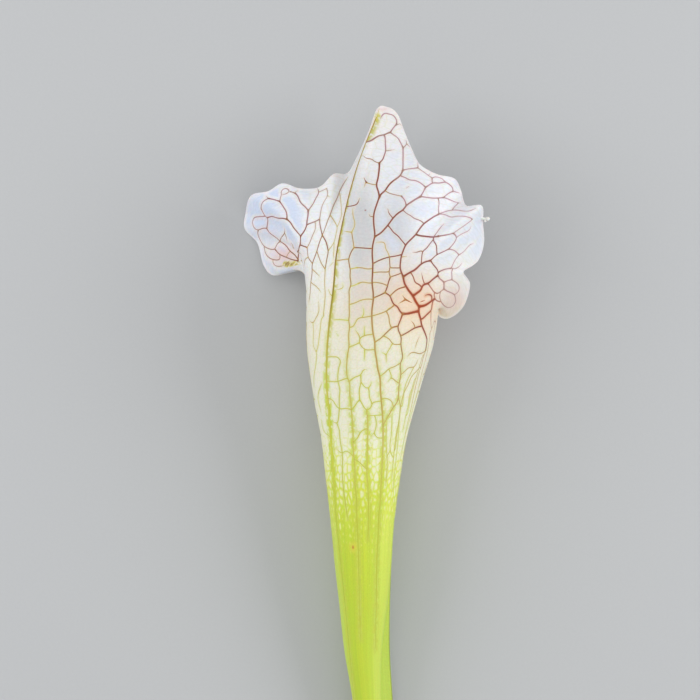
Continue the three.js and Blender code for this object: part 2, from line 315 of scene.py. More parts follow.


# %% [markdown]
# ## Where the veins run
#
# The veins are the leaf's drawing, so the ones on the visible side are traced. Their points are pixels of
# the 700 by 700 picture, and a pixel is 0.42 mm on the leaf. The first number of each vein is its rank: 0
# for the thinnest to 3 for the thickest. The midrib has rank 4.

# %% Traced veins
MAIN_RANK, MIDRIB_RANK = 2, 4  # a main vein has at least the first of these
PIXEL = 0.42  # millimetres
AXIS_PX, CUT_END_PX = 366.0, 1013.0  # the column over x = 0 and the row of the cut end

MIDRIB_PX = [
    (376.5, 117), (372.3, 128), (369.7, 133.3), (367, 142), (363.7, 149.3), (360.3, 158), (357.7, 164.7),
    (355, 174.7), (352.3, 184), (350, 192), (348.3, 199.3), (345.5, 211), (342.7, 223.3), (340, 236.7),
    (337.7, 248), (335.7, 260), (334.7, 270), (334.5, 281.3), (333.3, 292), (332, 300.7), (331, 308.7),
    (330, 316.7), (329, 326.7), (328, 338.7), (327, 350), (326.7, 363.3), (326.5, 376.7), (326.3, 388.7),
    (327.7, 395.3), (328.7, 403.3), (329.3, 416.7), (330, 430), (331, 444), (332.4, 457), (333.4, 473),
    (334.5, 491), (336, 515), (339, 545), (343.5, 590), (348.5, 640), (353, 690), (356, 730),
]

VEINS_PX = {
    "tip": [
        (2, [(380.3, 119), (382, 115.3), (385.3, 113), (388.3, 114.3), (392.3, 114.7), (395.3, 118),
            (397, 121.3), (396.3, 124.7)]),
        (1, [(396.3, 124.7), (401, 125.3)]),
        (2, [(396.3, 124.7), (393.3, 128), (390.3, 132.7)]),
        (3, [(390.3, 132.7), (387, 133.7), (384.3, 135.3), (380.3, 135.7), (376.3, 137.3), (372.3, 140.3),
            (367.7, 142.7)]),
        (2, [(390.3, 132.7), (393, 135), (397.7, 138), (399.7, 141.3), (401.7, 145.3), (403, 148)]),
        (1, [(403, 148), (406.7, 144.7), (405.7, 140)]),
        (0, [(406.7, 144.7), (410, 147.3)]),
        (2, [(403, 148), (403, 154), (402.9, 160.7), (402.9, 167.3), (402.7, 170.7)]),
        (2, [(402.7, 170.7), (406.7, 169.7), (411.7, 169), (417.7, 168.3)]),
        (0, [(417.7, 168.3), (417.7, 162.7)]),
        (0, [(417.7, 168.3), (423.7, 172.5), (428.8, 176.2), (431.9, 178.5)]),
        (0, [(428.8, 176.2), (429.6, 173.8)]),
        (3, [(402.7, 170.7), (401, 174.7), (400, 176.3), (397, 178.7), (392.3, 182), (388.3, 186),
            (385, 191.3), (380.3, 195.3), (379.5, 197.3)]),
        (2, [(400, 176.3), (405, 178), (410.3, 180.7), (414.3, 180.7), (419.7, 183), (425.3, 187.5)]),
        (3, [(379.5, 197.3), (378.3, 192), (376.3, 185.3), (377.7, 180), (378.7, 173.3), (379.3, 168),
            (379.3, 163.3)]),
        (2, [(379.3, 163.3), (382.7, 160), (384.3, 155.3), (385.7, 151.3), (385.3, 145.3), (385.3, 140),
            (384.7, 135.7)]),
        (0, [(379.3, 163.3), (375.7, 162.7), (371.3, 159.3), (365.7, 158.7), (361.7, 157)]),
        (0, [(385.7, 151.3), (390.3, 150.7), (394.7, 150)]),
        (0, [(376.3, 185.3), (372.3, 185), (367, 183.3)]),
        (2, [(367, 183.3), (365.3, 181.5), (364, 178)]),
        (0, [(365.7, 182.5), (364, 188)]),
        (0, [(385, 191.3), (388.5, 193.5), (392.5, 194.7), (401, 196.5)]),
        (0, [(405.7, 188.7), (409, 186.7)]),
    ],
    "right lobe": [
        (2, [(425.4, 187.7), (428, 186.2), (431.9, 183.5), (440, 183.5), (444.6, 182.3), (449.6, 185.4),
            (452.3, 188), (452.8, 191.5)]),
        (2, [(452.8, 191.5), (448, 193.8), (443.5, 197.7)]),
        (1, [(431.9, 183.5), (431.9, 178.5)]),
        (0, [(431.9, 178.5), (435, 177.3), (441.2, 178.8), (444.6, 182)]),
        (0, [(452.8, 191.5), (455, 192), (459.6, 193.8)]),
        (2, [(425.4, 187.7), (423.5, 191.5), (420.4, 197)]),
        (2, [(420.4, 197), (426.5, 197.7), (432.7, 198.6), (438, 198.5), (443.5, 197.8)]),
        (1, [(443.5, 197.8), (449.6, 200), (455.8, 202.7), (459.6, 203)]),
        (2, [(438, 198.5), (438.8, 203.8), (438, 210), (438.8, 214.2)]),
        (3, [(420.4, 197), (414.2, 200.4), (410.4, 203), (406.2, 205.8), (403, 210.4), (398.8, 213),
            (393, 218.5), (388, 225.4), (384.7, 229.3), (380, 234), (374.7, 237)]),
        (2, [(406.2, 205.8), (404.2, 200), (401.2, 196.5)]),
        (3, [(438.8, 214.2), (432, 218), (428, 220.8), (423.8, 223.8), (418.8, 230), (415.4, 235),
            (410.4, 240), (405.4, 245.4), (403, 251), (401.3, 255.7), (400.3, 261.7), (400, 269),
            (403, 277)]),
        (1, [(403, 210.4), (405.8, 213.5), (411.2, 216.5), (413.5, 218.5), (419.6, 220.8), (423.8, 223.8)]),
        (1, [(438.8, 214.2), (446.5, 211.5), (452, 210.4), (458.8, 210.4), (468.8, 211.5), (475.8, 208.5)]),
        (0, [(452, 210.4), (454.2, 207), (457.7, 204.2)]),
        (1, [(438.8, 214.2), (445, 215), (450.4, 217.3), (457.3, 216.5), (465, 217), (472, 218.8)]),
        (2, [(388, 225.8), (390.8, 229.2), (393.5, 233), (397.3, 235.8), (401.5, 240.8), (405.4, 245.4)]),
        (1, [(393, 218.5), (388.8, 213.8), (387.7, 209.2)]),
        (3, [(415.4, 235), (420.4, 236.2), (426.5, 236.9), (433.5, 237.3), (438.8, 236.5)]),
        (2, [(438.8, 236.5), (445.8, 235.4), (453, 233.5)]),
        (1, [(453, 233.5), (455.8, 231.5), (465.8, 224.6), (472, 220)]),
        (2, [(453, 233.5), (456.5, 237.3), (455, 241.2), (452, 245.4), (448.5, 249.2)]),
        (0, [(456.5, 237.3), (462, 233.8), (469.6, 229.6), (470.8, 226.2)]),
        (2, [(433.5, 237.3), (433, 240.4), (435.8, 245.4), (436.5, 251.5), (436.8, 254.8)]),
        (1, [(433, 240.4), (430.4, 243), (426.5, 248.5), (422.7, 251.5), (421.5, 258), (421, 263.5)]),
        (0, [(422.7, 251.5), (420.4, 250.8), (417.3, 252.7), (412.3, 252.5)]),
        (0, [(433.5, 237.3), (437.3, 232), (442, 225.8), (443.8, 224.2)]),
        (2, [(430.3, 260.7), (436.8, 254.8), (442.3, 252.3), (448.5, 249.2)]),
        (1, [(448.5, 249.2), (454.2, 250.6), (458.7, 255)]),
        (1, [(458.7, 255), (455, 259.7), (453, 263.7), (451, 268)]),
        (0, [(458.7, 255), (463, 252.3), (466.5, 248.5), (468.8, 245.4), (473.5, 243.5)]),
        (3, [(403, 277), (407, 274.3), (410.7, 272.3), (415.7, 269.3), (420.3, 264.7), (425, 262),
            (430.3, 260.7)]),
        (2, [(430.3, 260.7), (433, 265), (437, 269.7), (438, 272.3), (437.3, 275.7)]),
        (2, [(438, 272.3), (443.7, 269.7), (451, 268.3)]),
        (0, [(451, 268.3), (453, 269.3), (457.7, 267.7), (461.7, 263)]),
        (1, [(452.5, 269.3), (452, 273), (451.7, 279.7)]),
        (1, [(451.7, 279.7), (447.7, 280.7), (443.7, 282.3)]),
        (2, [(443.7, 282.3), (440.3, 279), (437.3, 275.7)]),
        (2, [(443.7, 282.3), (443.7, 289)]),
        (1, [(443.7, 289), (440.3, 291.7), (437, 294), (434, 292.7), (431, 287.7), (427.7, 283.7)]),
        (3, [(437.3, 275.7), (433, 279), (429.7, 282), (427.7, 283.7), (423.7, 284.3), (421.3, 287.7),
            (421, 289.7), (417.7, 292.3), (413, 295.9)]),
        (1, [(443.7, 289), (446.3, 291), (451.7, 293), (454.3, 294.7)]),
        (0, [(454.3, 294.7), (458.3, 291.7), (459, 286.3), (456.7, 283), (452.3, 280.5)]),
        (0, [(454.3, 294.7), (455.7, 300.3), (455, 303), (449.7, 307.7), (445, 306.7), (442.3, 304.3),
            (440.7, 301.7), (439.3, 297), (440.3, 291.7)]),
        (1, [(440.7, 301.7), (437.7, 301.7), (434.3, 298.3), (434, 293)]),
        (3, [(418.9, 306.6), (424.3, 305.7), (427.7, 303.7), (431, 301.3), (434.3, 298.6)]),
        (2, [(425, 295.7), (429, 294.3), (431.7, 296.3), (431, 301.3)]),
        (0, [(425, 300.3), (419.7, 302.3)]),
        (1, [(410.7, 273), (413.7, 279), (415, 283), (419.7, 285), (421.3, 287.7)]),
        (0, [(421.3, 273), (422.3, 278.3), (424, 284)]),
        (0, [(400.7, 257.3), (406.7, 256.7)]),
    ],
    "left lobe": [
        (3, [(298.5, 262), (298, 257.3), (298.7, 251.3), (300.3, 244.7), (300.7, 236.3)]),
        (3, [(300.7, 236.3), (303.3, 233.3), (305.7, 228.7), (307, 224.7), (307, 221.3), (308, 216.7),
            (308.3, 210.7)]),
        (2, [(308.3, 210.7), (305.7, 207.3), (300.7, 202.7), (299, 199.3), (298, 196), (294.7, 193)]),
        (2, [(308.3, 210.7), (313.3, 203.7), (316, 198), (319, 192), (317.3, 188.3)]),
        (0, [(319, 192), (322.7, 190.3), (326.7, 188.7)]),
        (1, [(326.7, 188.7), (327.5, 191), (327.5, 196), (324, 202), (321.7, 207.5), (320.7, 212.7),
            (319.7, 219.3)]),
        (0, [(327.5, 196), (330, 197.3)]),
        (2, [(307, 224.7), (310.7, 223.3), (315.3, 221.7), (319.7, 219.3)]),
        (2, [(319.7, 219.3), (320, 224.7), (321.3, 230.7), (322.4, 235.5)]),
        (1, [(322.4, 235.5), (324.3, 230.7), (326, 226), (328, 220), (330, 215.7), (331.7, 210.7),
            (333.7, 205.3), (337.3, 198), (339.7, 191.3), (343.5, 184), (348, 177)]),
        (2, [(322.4, 235.5), (320, 241.3), (318.7, 245.3), (317, 251.3), (315.3, 256), (313.3, 261.3),
            (312.3, 264.7), (312.3, 272), (310.9, 282.7), (310.3, 292.7), (308.9, 303.3)]),
        (2, [(322.4, 235.5), (324.3, 238.7), (326, 241.7), (327.3, 246.5), (328.3, 251.3), (327.2, 258),
            (326, 264.7), (325.3, 269.3)]),
        (1, [(317, 251.3), (319, 257.3), (322, 264.7), (325.3, 269.3)]),
        (1, [(325.3, 269.3), (324.7, 283.3), (325.3, 295.3), (324.7, 303.3), (323.5, 315)]),
        (2, [(300.3, 244.7), (303.3, 246), (307.3, 247.7)]),
        (1, [(307.3, 247.7), (307.7, 253.3), (308.3, 257.7), (312.3, 263)]),
        (0, [(307.3, 247.7), (309.3, 244), (311.7, 238), (313.3, 234), (315.3, 230), (315.5, 224.7),
            (315.3, 221.7)]),
        (0, [(308.3, 257.7), (305, 259.3), (304.3, 264.7), (304, 268.7)]),
        (0, [(330, 266), (333.5, 262.3)]),
        (0, [(330.7, 216), (334.7, 222), (337.3, 227.3), (336.3, 233.3), (334, 242.7), (328.3, 250.8)]),
        (0, [(334, 242.7), (334, 250), (333.3, 260)]),
        (0, [(339.7, 193), (341.3, 207.3), (341.3, 217), (338.7, 224), (337.3, 227.3)]),
        (2, [(298.2, 259.5), (294.7, 254.7), (289.7, 250.7), (286, 245.3), (280, 241), (276, 237.3),
            (269.7, 232.7), (266.7, 228.3)]),
        (2, [(266.7, 228.3), (267.3, 224), (267.5, 217.8), (265.3, 216), (261, 208.3)]),
        (1, [(261, 208.3), (261.3, 204.7), (263, 201.7), (268.3, 198.3)]),
        (2, [(268.3, 198.3), (273.3, 199.3), (279.7, 201.3)]),
        (2, [(279.7, 201.3), (283.3, 206.7), (286.7, 212.7), (287, 219.3)]),
        (2, [(287, 219.3), (290.7, 222.7), (293.3, 227.3), (296.7, 231.3), (300.7, 236.3)]),
        (2, [(287, 219.3), (282.7, 218.3), (278.3, 218.3), (274.7, 217), (272, 216), (267.5, 217.5)]),
        (1, [(265.3, 216), (260, 216.3), (253.3, 217.7), (252.7, 219.3), (252.7, 224.7), (253.7, 227.3),
            (257.7, 230), (262, 228), (266.5, 227.8)]),
        (1, [(257.7, 230), (257.7, 233.3), (260, 240), (264, 246), (269.3, 248.7), (275, 249), (276, 245.3),
            (280, 241)]),
        (2, [(275, 249), (279.3, 254), (286, 257), (291.3, 259.3), (297.3, 260.7)]),
        (1, [(264, 246), (264.7, 251.3), (267.3, 256), (272.7, 259.3), (280, 259), (279.7, 254.4)]),
        (0, [(272.7, 259.3), (272.7, 262), (274.7, 265.3), (279.3, 266.3), (284, 265.3)]),
        (0, [(286, 257), (288, 254), (289.7, 251)]),
        (0, [(280, 240.5), (282.7, 236), (284.7, 233.3), (284.7, 228.7)]),
        (0, [(284.7, 233.3), (286, 236), (287.3, 241.3)]),
        (0, [(290.7, 242.7), (293.3, 244.7), (293.3, 248.7)]),
        (0, [(280, 200.7), (280.3, 197.3), (281.7, 194.7), (280.7, 192), (282.7, 189.3), (286.7, 188.3),
            (289.7, 191.3), (286, 194), (281.7, 194.7)]),
        (0, [(294.7, 193), (289.7, 191.3)]),
        (0, [(294.7, 193), (297.3, 190.7)]),
        (0, [(268.3, 198.3), (266, 196)]),
        (0, [(300, 254), (302, 255.3)]),
    ],
    "back": [
        (3, [(379.5, 197), (376.7, 204.7), (373.7, 215.3), (373.7, 224.7), (374.7, 236), (372.7, 245.3),
            (372.1, 254), (372.7, 263.3), (372.5, 273.3), (372, 283.3), (373, 292), (373.3, 298),
            (371.9, 310), (372, 323.3), (373, 333.3), (374.7, 342), (374.9, 350), (376.7, 361), (377.5, 368),
            (379.7, 376.3), (380.3, 390), (381.5, 403.3), (382.5, 416.7), (383, 430), (382.7, 451.4),
            (381.6, 473), (380.9, 487), (380.2, 501.4), (378.8, 515.7), (378.4, 530), (377, 560),
            (376.3, 600), (375, 650)]),
        (2, [(348, 207.7), (352.7, 206.3), (356.7, 205), (359.7, 198.7)]),
        (0, [(352.7, 208.7), (353, 216), (355, 224.7), (351.7, 232.7)]),
        (1, [(351.7, 232.7), (353, 240.7), (354, 248)]),
        (0, [(351.7, 232.7), (346.7, 232), (343, 231.7)]),
        (2, [(354, 248), (351.3, 252), (350, 255.3), (348.7, 259.3), (349.3, 264.7), (350.3, 270),
            (350, 276.7), (350.9, 286), (349.3, 289.3), (349.3, 296.7), (349.2, 304.7), (349.3, 316.7),
            (348.7, 320.7), (349.8, 326.7), (349.2, 330), (348.7, 336.7), (349, 347.3), (347.9, 352.7),
            (347, 361), (347.3, 376.7), (349.7, 383.3), (349.7, 393.3), (351, 402), (351.3, 410),
            (352, 416.7), (352.9, 430), (353.4, 451.4), (354.9, 465.7), (355.2, 483.6), (356.6, 498),
            (356.9, 515.7), (357.7, 530), (359, 580), (360.4, 640)]),
        (1, [(348.7, 259.3), (343.3, 260), (339.3, 260.7), (336, 261)]),
        (2, [(354, 248), (360.7, 248.3), (366, 248.7), (372.2, 249)]),
        (1, [(373.7, 217), (369.3, 216.7), (369, 214.5)]),
        (2, [(372.7, 264), (380, 260.3), (389.3, 257.3), (396, 256.3), (401, 255)]),
        (1, [(389.3, 257.3), (389.7, 265.3), (390, 268), (388.7, 272), (390.2, 277.3)]),
        (2, [(390.2, 277.3), (388.3, 282.3), (387, 287.5), (384.9, 292.8)]),
        (1, [(390, 268.2), (400, 268.3)]),
        (1, [(388.7, 272.3), (384.7, 272.3), (378.7, 272.3), (372.7, 273)]),
        (1, [(390.2, 277.3), (395.3, 275.5), (400.5, 273.8)]),
        (1, [(372, 269), (367.3, 269.3), (360.7, 268), (356.7, 268)]),
        (0, [(356.7, 268), (350.7, 269.3)]),
        (1, [(372, 283.3), (368.7, 283.3), (362, 282.3), (358.5, 283.7)]),
        (0, [(358.5, 283.7), (353.3, 286), (351, 286.7)]),
        (1, [(373.3, 282.3), (382, 283.7), (387.5, 286)]),
        (0, [(376, 242.7), (384.7, 243.3), (385.3, 248.7), (388, 253.3), (389.3, 257.3)]),
        (3, [(403, 277), (404.3, 283.7), (407.7, 289.7), (412.6, 296), (415.7, 302.3), (418.7, 306.6),
            (418.3, 312), (420.3, 319), (421.3, 325), (424.3, 331.9), (426.7, 339.5), (426.3, 344.7),
            (425.3, 350.7)]),
        (2, [(384.9, 292.8), (390, 296.3), (391.7, 301), (394.3, 305.3), (397.3, 306.5), (399, 310.3),
            (402.3, 314)]),
        (2, [(384.9, 292.8), (380, 295.3), (373.5, 298)]),
        (1, [(390, 296.3), (393.7, 292.3), (398.3, 289), (405.5, 287)]),
        (3, [(402.3, 314), (407.7, 313.7), (413, 312.3), (418.3, 311.3)]),
        (2, [(402.3, 314), (400.7, 319), (398.7, 323.7), (397.7, 326.5), (398.5, 331.2), (400.7, 336),
            (400.7, 345.3), (402, 353.3), (402.3, 358.7), (400.3, 362.7), (400.7, 374.7), (399, 384),
            (398.3, 397)]),
        (2, [(397.7, 326.5), (394.7, 326.7), (391.3, 328)]),
        (1, [(391.3, 328), (389.3, 323), (388.7, 316.5), (386, 311.3)]),
        (1, [(372.2, 299.3), (366.7, 299.3), (360, 300.7), (354.7, 303.3), (349.3, 304.7)]),
        (1, [(394.3, 305.3), (390.3, 308.3), (386, 311.3), (380, 313.7), (372, 316)]),
        (1, [(372, 316), (362, 317.7), (358.7, 318), (355.3, 322.7), (353.3, 326.7), (349.9, 327.3)]),
        (0, [(362, 317.5), (364, 312.7), (362.7, 307.3)]),
        (1, [(355.3, 330), (360, 338), (359.3, 342.7), (360.7, 345.3), (364.7, 349.3), (374.8, 349.5)]),
        (1, [(360, 338), (364, 335.7), (373, 334.3)]),
        (1, [(359.3, 342.7), (355.3, 344.7), (349, 347)]),
        (0, [(364.3, 335.7), (364.3, 326.7)]),
        (0, [(364.7, 350), (364.3, 360)]),
        (2, [(374.7, 342), (380, 338.9), (383.3, 335.7), (391.3, 328)]),
        (1, [(383.3, 335.7), (390, 340), (392.2, 343.7), (400.7, 344.3)]),
        (0, [(392.2, 343.7), (388.7, 350), (386, 354.7), (386.7, 362)]),
        (0, [(386, 354.7), (381.3, 352)]),
        (0, [(311, 282.7), (316.7, 286.7), (321.3, 292.7)]),
        (0, [(328.3, 289.3), (331, 296)]),
        (0, [(313.3, 270), (320, 276.7)]),
        (1, [(318.7, 302), (318.7, 312.7), (315.3, 319.3), (313, 323.3), (310, 321)]),
        (0, [(313, 323.3), (313.7, 333.3), (313.7, 346.7), (316.3, 352), (316, 363.3), (314, 376.7),
            (314, 387.3)]),
        (0, [(325, 315.3), (322, 318), (320.7, 326.7), (319.3, 336.7), (318, 346.7), (316.3, 352)]),
        (0, [(332, 320), (340, 319.7), (348.7, 320.7)]),
        (0, [(336, 290), (340, 289.3), (343.3, 288.3), (342.7, 284)]),
        (0, [(336, 332.7), (338.3, 336)]),
        (2, [(400.7, 336), (408, 332), (414.5, 328), (421.4, 326)]),
        (0, [(414.5, 328), (414.3, 325), (411, 321)]),
        (2, [(421.3, 319.7), (425, 316.3), (428.3, 313), (431, 310.7), (431.7, 305), (433, 300.3)]),
        (0, [(431, 310.7), (430.7, 317), (431, 328.3)]),
        (0, [(434.3, 321.7), (431.7, 328.3), (429, 335)]),
        (0, [(436, 319), (434, 329), (433.3, 338.3)]),
        (0, [(405.3, 299.7), (401, 302.3), (398.3, 303.7)]),
        (0, [(405.3, 299.7), (402.3, 295.7)]),
        (0, [(405.3, 299.7), (411.7, 303)]),
        (0, [(391, 307.5), (387, 310)]),
    ],
    "tube": [
        (1, [(327.3, 356.7), (332.7, 356.7), (336.7, 356.7), (340.7, 360.7), (339, 366.7), (338, 373.3),
            (338, 381.3), (340, 390), (339.3, 396.7), (339.5, 408.7)]),
        (1, [(327, 381), (338, 381.3), (343.3, 379.3), (347.3, 378)]),
        (1, [(349.4, 381.5), (355.3, 376.7), (360.7, 375), (362.7, 370.7), (365, 368.7), (367.3, 369.7)]),
        (1, [(360.7, 375), (361, 382), (359.3, 389.3), (359.7, 399.7)]),
        (1, [(359.7, 399.7), (356.7, 402.7), (354, 407.3), (351.3, 409.3)]),
        (1, [(359.7, 399.7), (362, 403.3), (364, 407.3), (366.7, 410), (371.3, 406.7), (372, 403),
            (376.7, 401.3), (381.3, 401)]),
        (2, [(366.7, 410), (367.3, 415.3), (367.7, 426.7), (367.7, 436.7), (367.4, 451.4), (367, 469.3),
            (367.4, 483.6), (368.4, 494.3), (368.4, 515.7), (368, 540)]),
        (0, [(367.3, 415.3), (374.7, 415.3), (382, 414.7)]),
        (0, [(375.3, 416.7), (376.3, 423.3), (374, 432.7), (371.3, 436)]),
        (0, [(374, 432.7), (376.7, 437.3), (382.9, 438)]),
        (0, [(361, 382), (366.7, 388), (369.3, 387.3), (371.3, 382)]),
        (0, [(369, 388.7), (369.7, 398), (372, 403)]),
        (1, [(328.7, 398), (332.7, 400), (336, 405.3), (339.3, 408.7), (346, 408), (351.3, 409.3)]),
        (1, [(339.3, 408.7), (338.7, 416.7), (337, 423.3), (332, 420.7)]),
        (1, [(337, 423.3), (339.3, 430), (340, 438.7), (342.4, 455), (342.4, 469.3), (342.7, 480),
            (345, 500), (348, 520)]),
        (1, [(354, 441.3), (358, 437.3), (360, 432.7), (362.7, 430), (367.6, 428)]),
        (0, [(360, 432.7), (357.3, 430.7)]),
        (1, [(380.5, 399), (385.3, 398), (391.3, 400.9), (393.3, 406.9)]),
        (2, [(398.3, 397), (396.7, 402.7), (393.3, 406.9), (389.3, 414), (384.7, 422), (383, 426)]),
        (1, [(379.7, 376.3), (384, 373.3), (388.7, 368.7), (394, 366.7), (400.3, 362.9)]),
        (0, [(388.9, 369.5), (391.3, 377.3), (388, 381.3)]),
        (1, [(391.3, 377.5), (398.9, 383.5)]),
        (1, [(400.7, 374.7), (405.3, 370.7), (408.7, 367.3), (413.3, 367.3), (418, 359.3)]),
        (1, [(425.3, 350.7), (419.3, 354), (414.7, 352.3), (410, 353), (407.3, 356.7)]),
        (1, [(425.3, 350.7), (423, 358), (421.3, 365.3), (418.7, 373.3), (416.7, 381.3), (414.7, 390),
            (412.7, 400), (410.7, 410), (407, 425), (403, 445)]),
        (0, [(419.3, 336.7), (417.3, 340.7), (414.7, 348.7)]),
        (1, [(420.5, 366.5), (416, 371.5), (411.3, 376.7), (408, 384.7), (404.7, 390.7), (402, 398.7),
            (400, 412), (397.5, 430), (395, 450)]),
        (1, [(398.3, 397), (399.7, 402.7), (399.5, 416), (396, 435), (393.4, 457.9), (391.5, 480)]),
        (0, [(413.3, 385.3), (409.3, 395.3), (408.3, 406.7)]),
        (0, [(430, 333.3), (428.7, 343.3), (425.3, 360), (421.3, 374.7), (418.7, 386.7), (415, 402)]),
        (0, [(392, 413.3), (391.5, 432), (390.2, 450), (391.3, 454.3), (393.4, 457.9)]),
        (0, [(390.2, 450.5), (386.3, 457.1)]),
        (0, [(430.9, 355), (419.4, 385), (409.8, 419.4), (405, 435.7), (400.3, 459.6)]),
        (0, [(423, 354), (411.7, 393.6), (407, 415.6)]),
        (0, [(413.7, 366.8), (405, 386), (402.2, 407)]),
        (0, [(414.6, 378), (406, 414.6), (402.5, 432)]),
        (0, [(399.3, 416.6), (398.3, 435.7), (396.4, 454.8), (394.5, 474), (392.5, 492)]),
        (0, [(386.5, 424), (386, 442), (387.2, 462), (385.5, 486)]),
        (0, [(336.3, 448.6), (342.4, 453.2), (345.6, 450.4), (349.9, 452.9), (353.8, 456.4)]),
        (1, [(355, 458.5), (357.7, 460.7), (366.8, 468.9)]),
        (0, [(330.5, 437), (324.5, 432), (321.5, 420)]),
        (0, [(322, 383.3), (319.3, 390), (318, 396.7), (321, 412)]),
    ],
}
print("traced veins:", sum(len(veins) for veins in VEINS_PX.values()))

# %% [markdown]
# ## The leaf as a mesh
#
# Solidify could give the skin a thickness, but not the fold where the outer and the inner wall meet in the
# rolled margin. So the inner wall is a second grid, a wall's thickness inside the first, with half as many
# lines. It stops at the floor of the cavity. All faces are rows of four corners, worked out as whole
# arrays.

# %% Helpers for meshes
WALL = 0.7  # millimetres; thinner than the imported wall, with the same outer face


def grid_faces(index):
    """Faces between the neighbouring rings of a closed grid of vertex numbers, with their normals
    outwards."""
    beside = np.roll(index, -1, axis=1)
    return np.stack([index[:-1], beside[:-1], beside[1:], index[1:]], -1).reshape(-1, 4)


def stitch_faces(fine, coarse):
    """Faces between a ring and one with half as many vertices: a quad and a triangle for each pair of
    steps."""
    a, b, c = fine[0::2], fine[1::2], np.roll(fine, -2)[0::2]
    d, e = coarse, np.roll(coarse, -1)
    return np.stack([a, b, e, d], -1), np.stack([b, c, e], -1)


def add_mesh(name, points, face_groups, material, attributes=None, uv=None):
    """One smooth object from points in millimetres, groups of faces with equal counts of corners, and
    values."""
    mesh = bpy.data.meshes.new(name)
    corners = np.concatenate([faces.ravel() for faces in face_groups])
    sizes = np.concatenate([np.full(len(faces), faces.shape[1]) for faces in face_groups])
    mesh.vertices.add(len(points))
    mesh.vertices.foreach_set("co", placed(points).astype(np.float32).ravel())
    mesh.loops.add(len(corners))
    mesh.loops.foreach_set("vertex_index", corners.astype(np.int32))
    mesh.polygons.add(len(sizes))
    mesh.polygons.foreach_set("loop_start", (np.cumsum(sizes) - sizes).astype(np.int32))
    mesh.update(calc_edges=True)
    mesh.validate()
    for attribute_name, values in (attributes or {}).items():
        stored = mesh.attributes.new(attribute_name, "FLOAT", "POINT")
        stored.data.foreach_set("value", np.asarray(values, np.float32))
    if uv is not None:
        # On a face across the seam, the corners that lie a whole turn too low are lifted by one
        starts = np.cumsum(sizes) - sizes
        highest = np.repeat(np.maximum.reduceat(uv[corners, 0], starts), sizes)
        place = uv[corners].copy()
        place[:, 0] += 2 * np.pi * RADIUS * (highest - place[:, 0] > np.pi * RADIUS)
        uv_map = mesh.uv_layers.new(name="leaf")
        uv_map.data.foreach_set("uv", place.astype(np.float32).ravel())
    mesh.shade_smooth()
    mesh.materials.append(material)
    piece = bpy.data.objects.new(name, mesh)
    bpy.context.scene.collection.objects.link(piece)
    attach(piece, "root")
    return piece


print("wall of the leaf, mm:", WALL)

# %% [markdown]
# A place on the skin is a line number and a ring number, both with fractions. To find the place under a
# point of the picture, the nearest vertex that faces the camera is taken, and two steps of Newton's method
# move off it to the exact place. Where two layers overlap, the upper one wins.

# %% Find places on the skin
SEEN_SLOPE = 0.05  # least upward part of the normal of skin that the camera sees
HEIGHT_BONUS = 0.05  # square millimetres of distance that one millimetre of height makes up for
SEARCH_BELOW = 5.0  # how far below the lowest spot the search goes, millimetres
SPOTS_AT_ONCE, POINTS_AT_ONCE = 400, 2000  # so that the tables of distances fit in memory
LEAST_AREA = 0.02  # square millimetres; a face seen edge on counts as this large
LAST_PLACE = RINGS - 1.001  # the highest ring number that has a ring above it
skin_out = grid_normals(skin)


def on_grid(grid, line, ring):
    """Reading of a grid between its vertices: the mean of the four round the place, weighted by nearness."""
    ring = np.clip(ring, 0, LAST_PLACE)
    i, j = np.floor(line).astype(int), np.floor(ring).astype(int)
    u, v = (line - i)[..., None], (ring - j)[..., None]
    i, k = i % LINES, (i + 1) % LINES
    below = (1 - u) * grid[j, i] + u * grid[j, k]
    above = (1 - u) * grid[j + 1, i] + u * grid[j + 1, k]
    return (1 - v) * below + v * above


def photo_mm(pixels):
    """Pixels of the picture to millimetres of the tables."""
    pixels = np.asarray(pixels, float)
    return np.stack([pixels[..., 0] - AXIS_PX, CUT_END_PX - pixels[..., 1]], -1) * PIXEL


def locate(spots):
    """Line and ring numbers of the skin that the camera sees at spots, in millimetres of the tables."""
    seen = (skin_out[..., 2] > SEEN_SLOPE) & (skin[..., 1] > spots[:, 1].min() - SEARCH_BELOW)
    rings, lines = np.nonzero(seen)
    there = skin[seen].astype(np.float32)
    bonus = (there[:, :2] ** 2).sum(axis=1) - HEIGHT_BONUS * there[:, 2]
    best = [np.argmin(bonus - 2 * some.astype(np.float32) @ there[:, :2].T, axis=1)
            for some in np.array_split(spots, len(spots) // SPOTS_AT_ONCE + 1)]
    best = np.concatenate(best)
    line, ring = lines[best].astype(float), rings[best].astype(float)
    for _ in range(2):
        miss = spots - on_grid(skin, line, ring)[:, :2]
        across = (on_grid(skin, line + 0.5, ring) - on_grid(skin, line - 0.5, ring))[:, :2]
        up = (on_grid(skin, line, ring + 0.5) - on_grid(skin, line, ring - 0.5))[:, :2]
        area = across[:, 0] * up[:, 1] - across[:, 1] * up[:, 0]
        area = np.where(np.abs(area) < LEAST_AREA, LEAST_AREA, area)
        line += np.clip((miss[:, 0] * up[:, 1] - miss[:, 1] * up[:, 0]) / area, -1, 1)
        ring += np.clip((across[:, 0] * miss[:, 1] - across[:, 1] * miss[:, 0]) / area, -1, 1)
    return line, np.clip(ring, 0, LAST_PLACE)


print("share of the skin that the camera sees:", round(float((skin_out[..., 2] > SEEN_SLOPE).mean()), 2))

# %% [markdown]
# The traced corners are few, so a smooth curve goes through them, with a section every 0.6 mm. Veins on a
# leaf always grow out of other veins. Where an end comes near another vein it is drawn up to it; an end
# with no vein beside it stays free and will thin out.

# %% Smooth the traced veins and join their ends
VEIN_STEP = 0.6  # millimetres between sections
SNAP = 0.75  # an end this near another vein is drawn up to it, millimetres
STEADY_PASSES, MIDRIB_PASSES = 2, 60  # the midrib runs along a fold, where a path would zigzag


def length_along(points):
    """Running sum of the steps between the points."""
    steps = np.linalg.norm(np.diff(points, axis=0), axis=1)
    return np.concatenate([[0], np.cumsum(steps)])


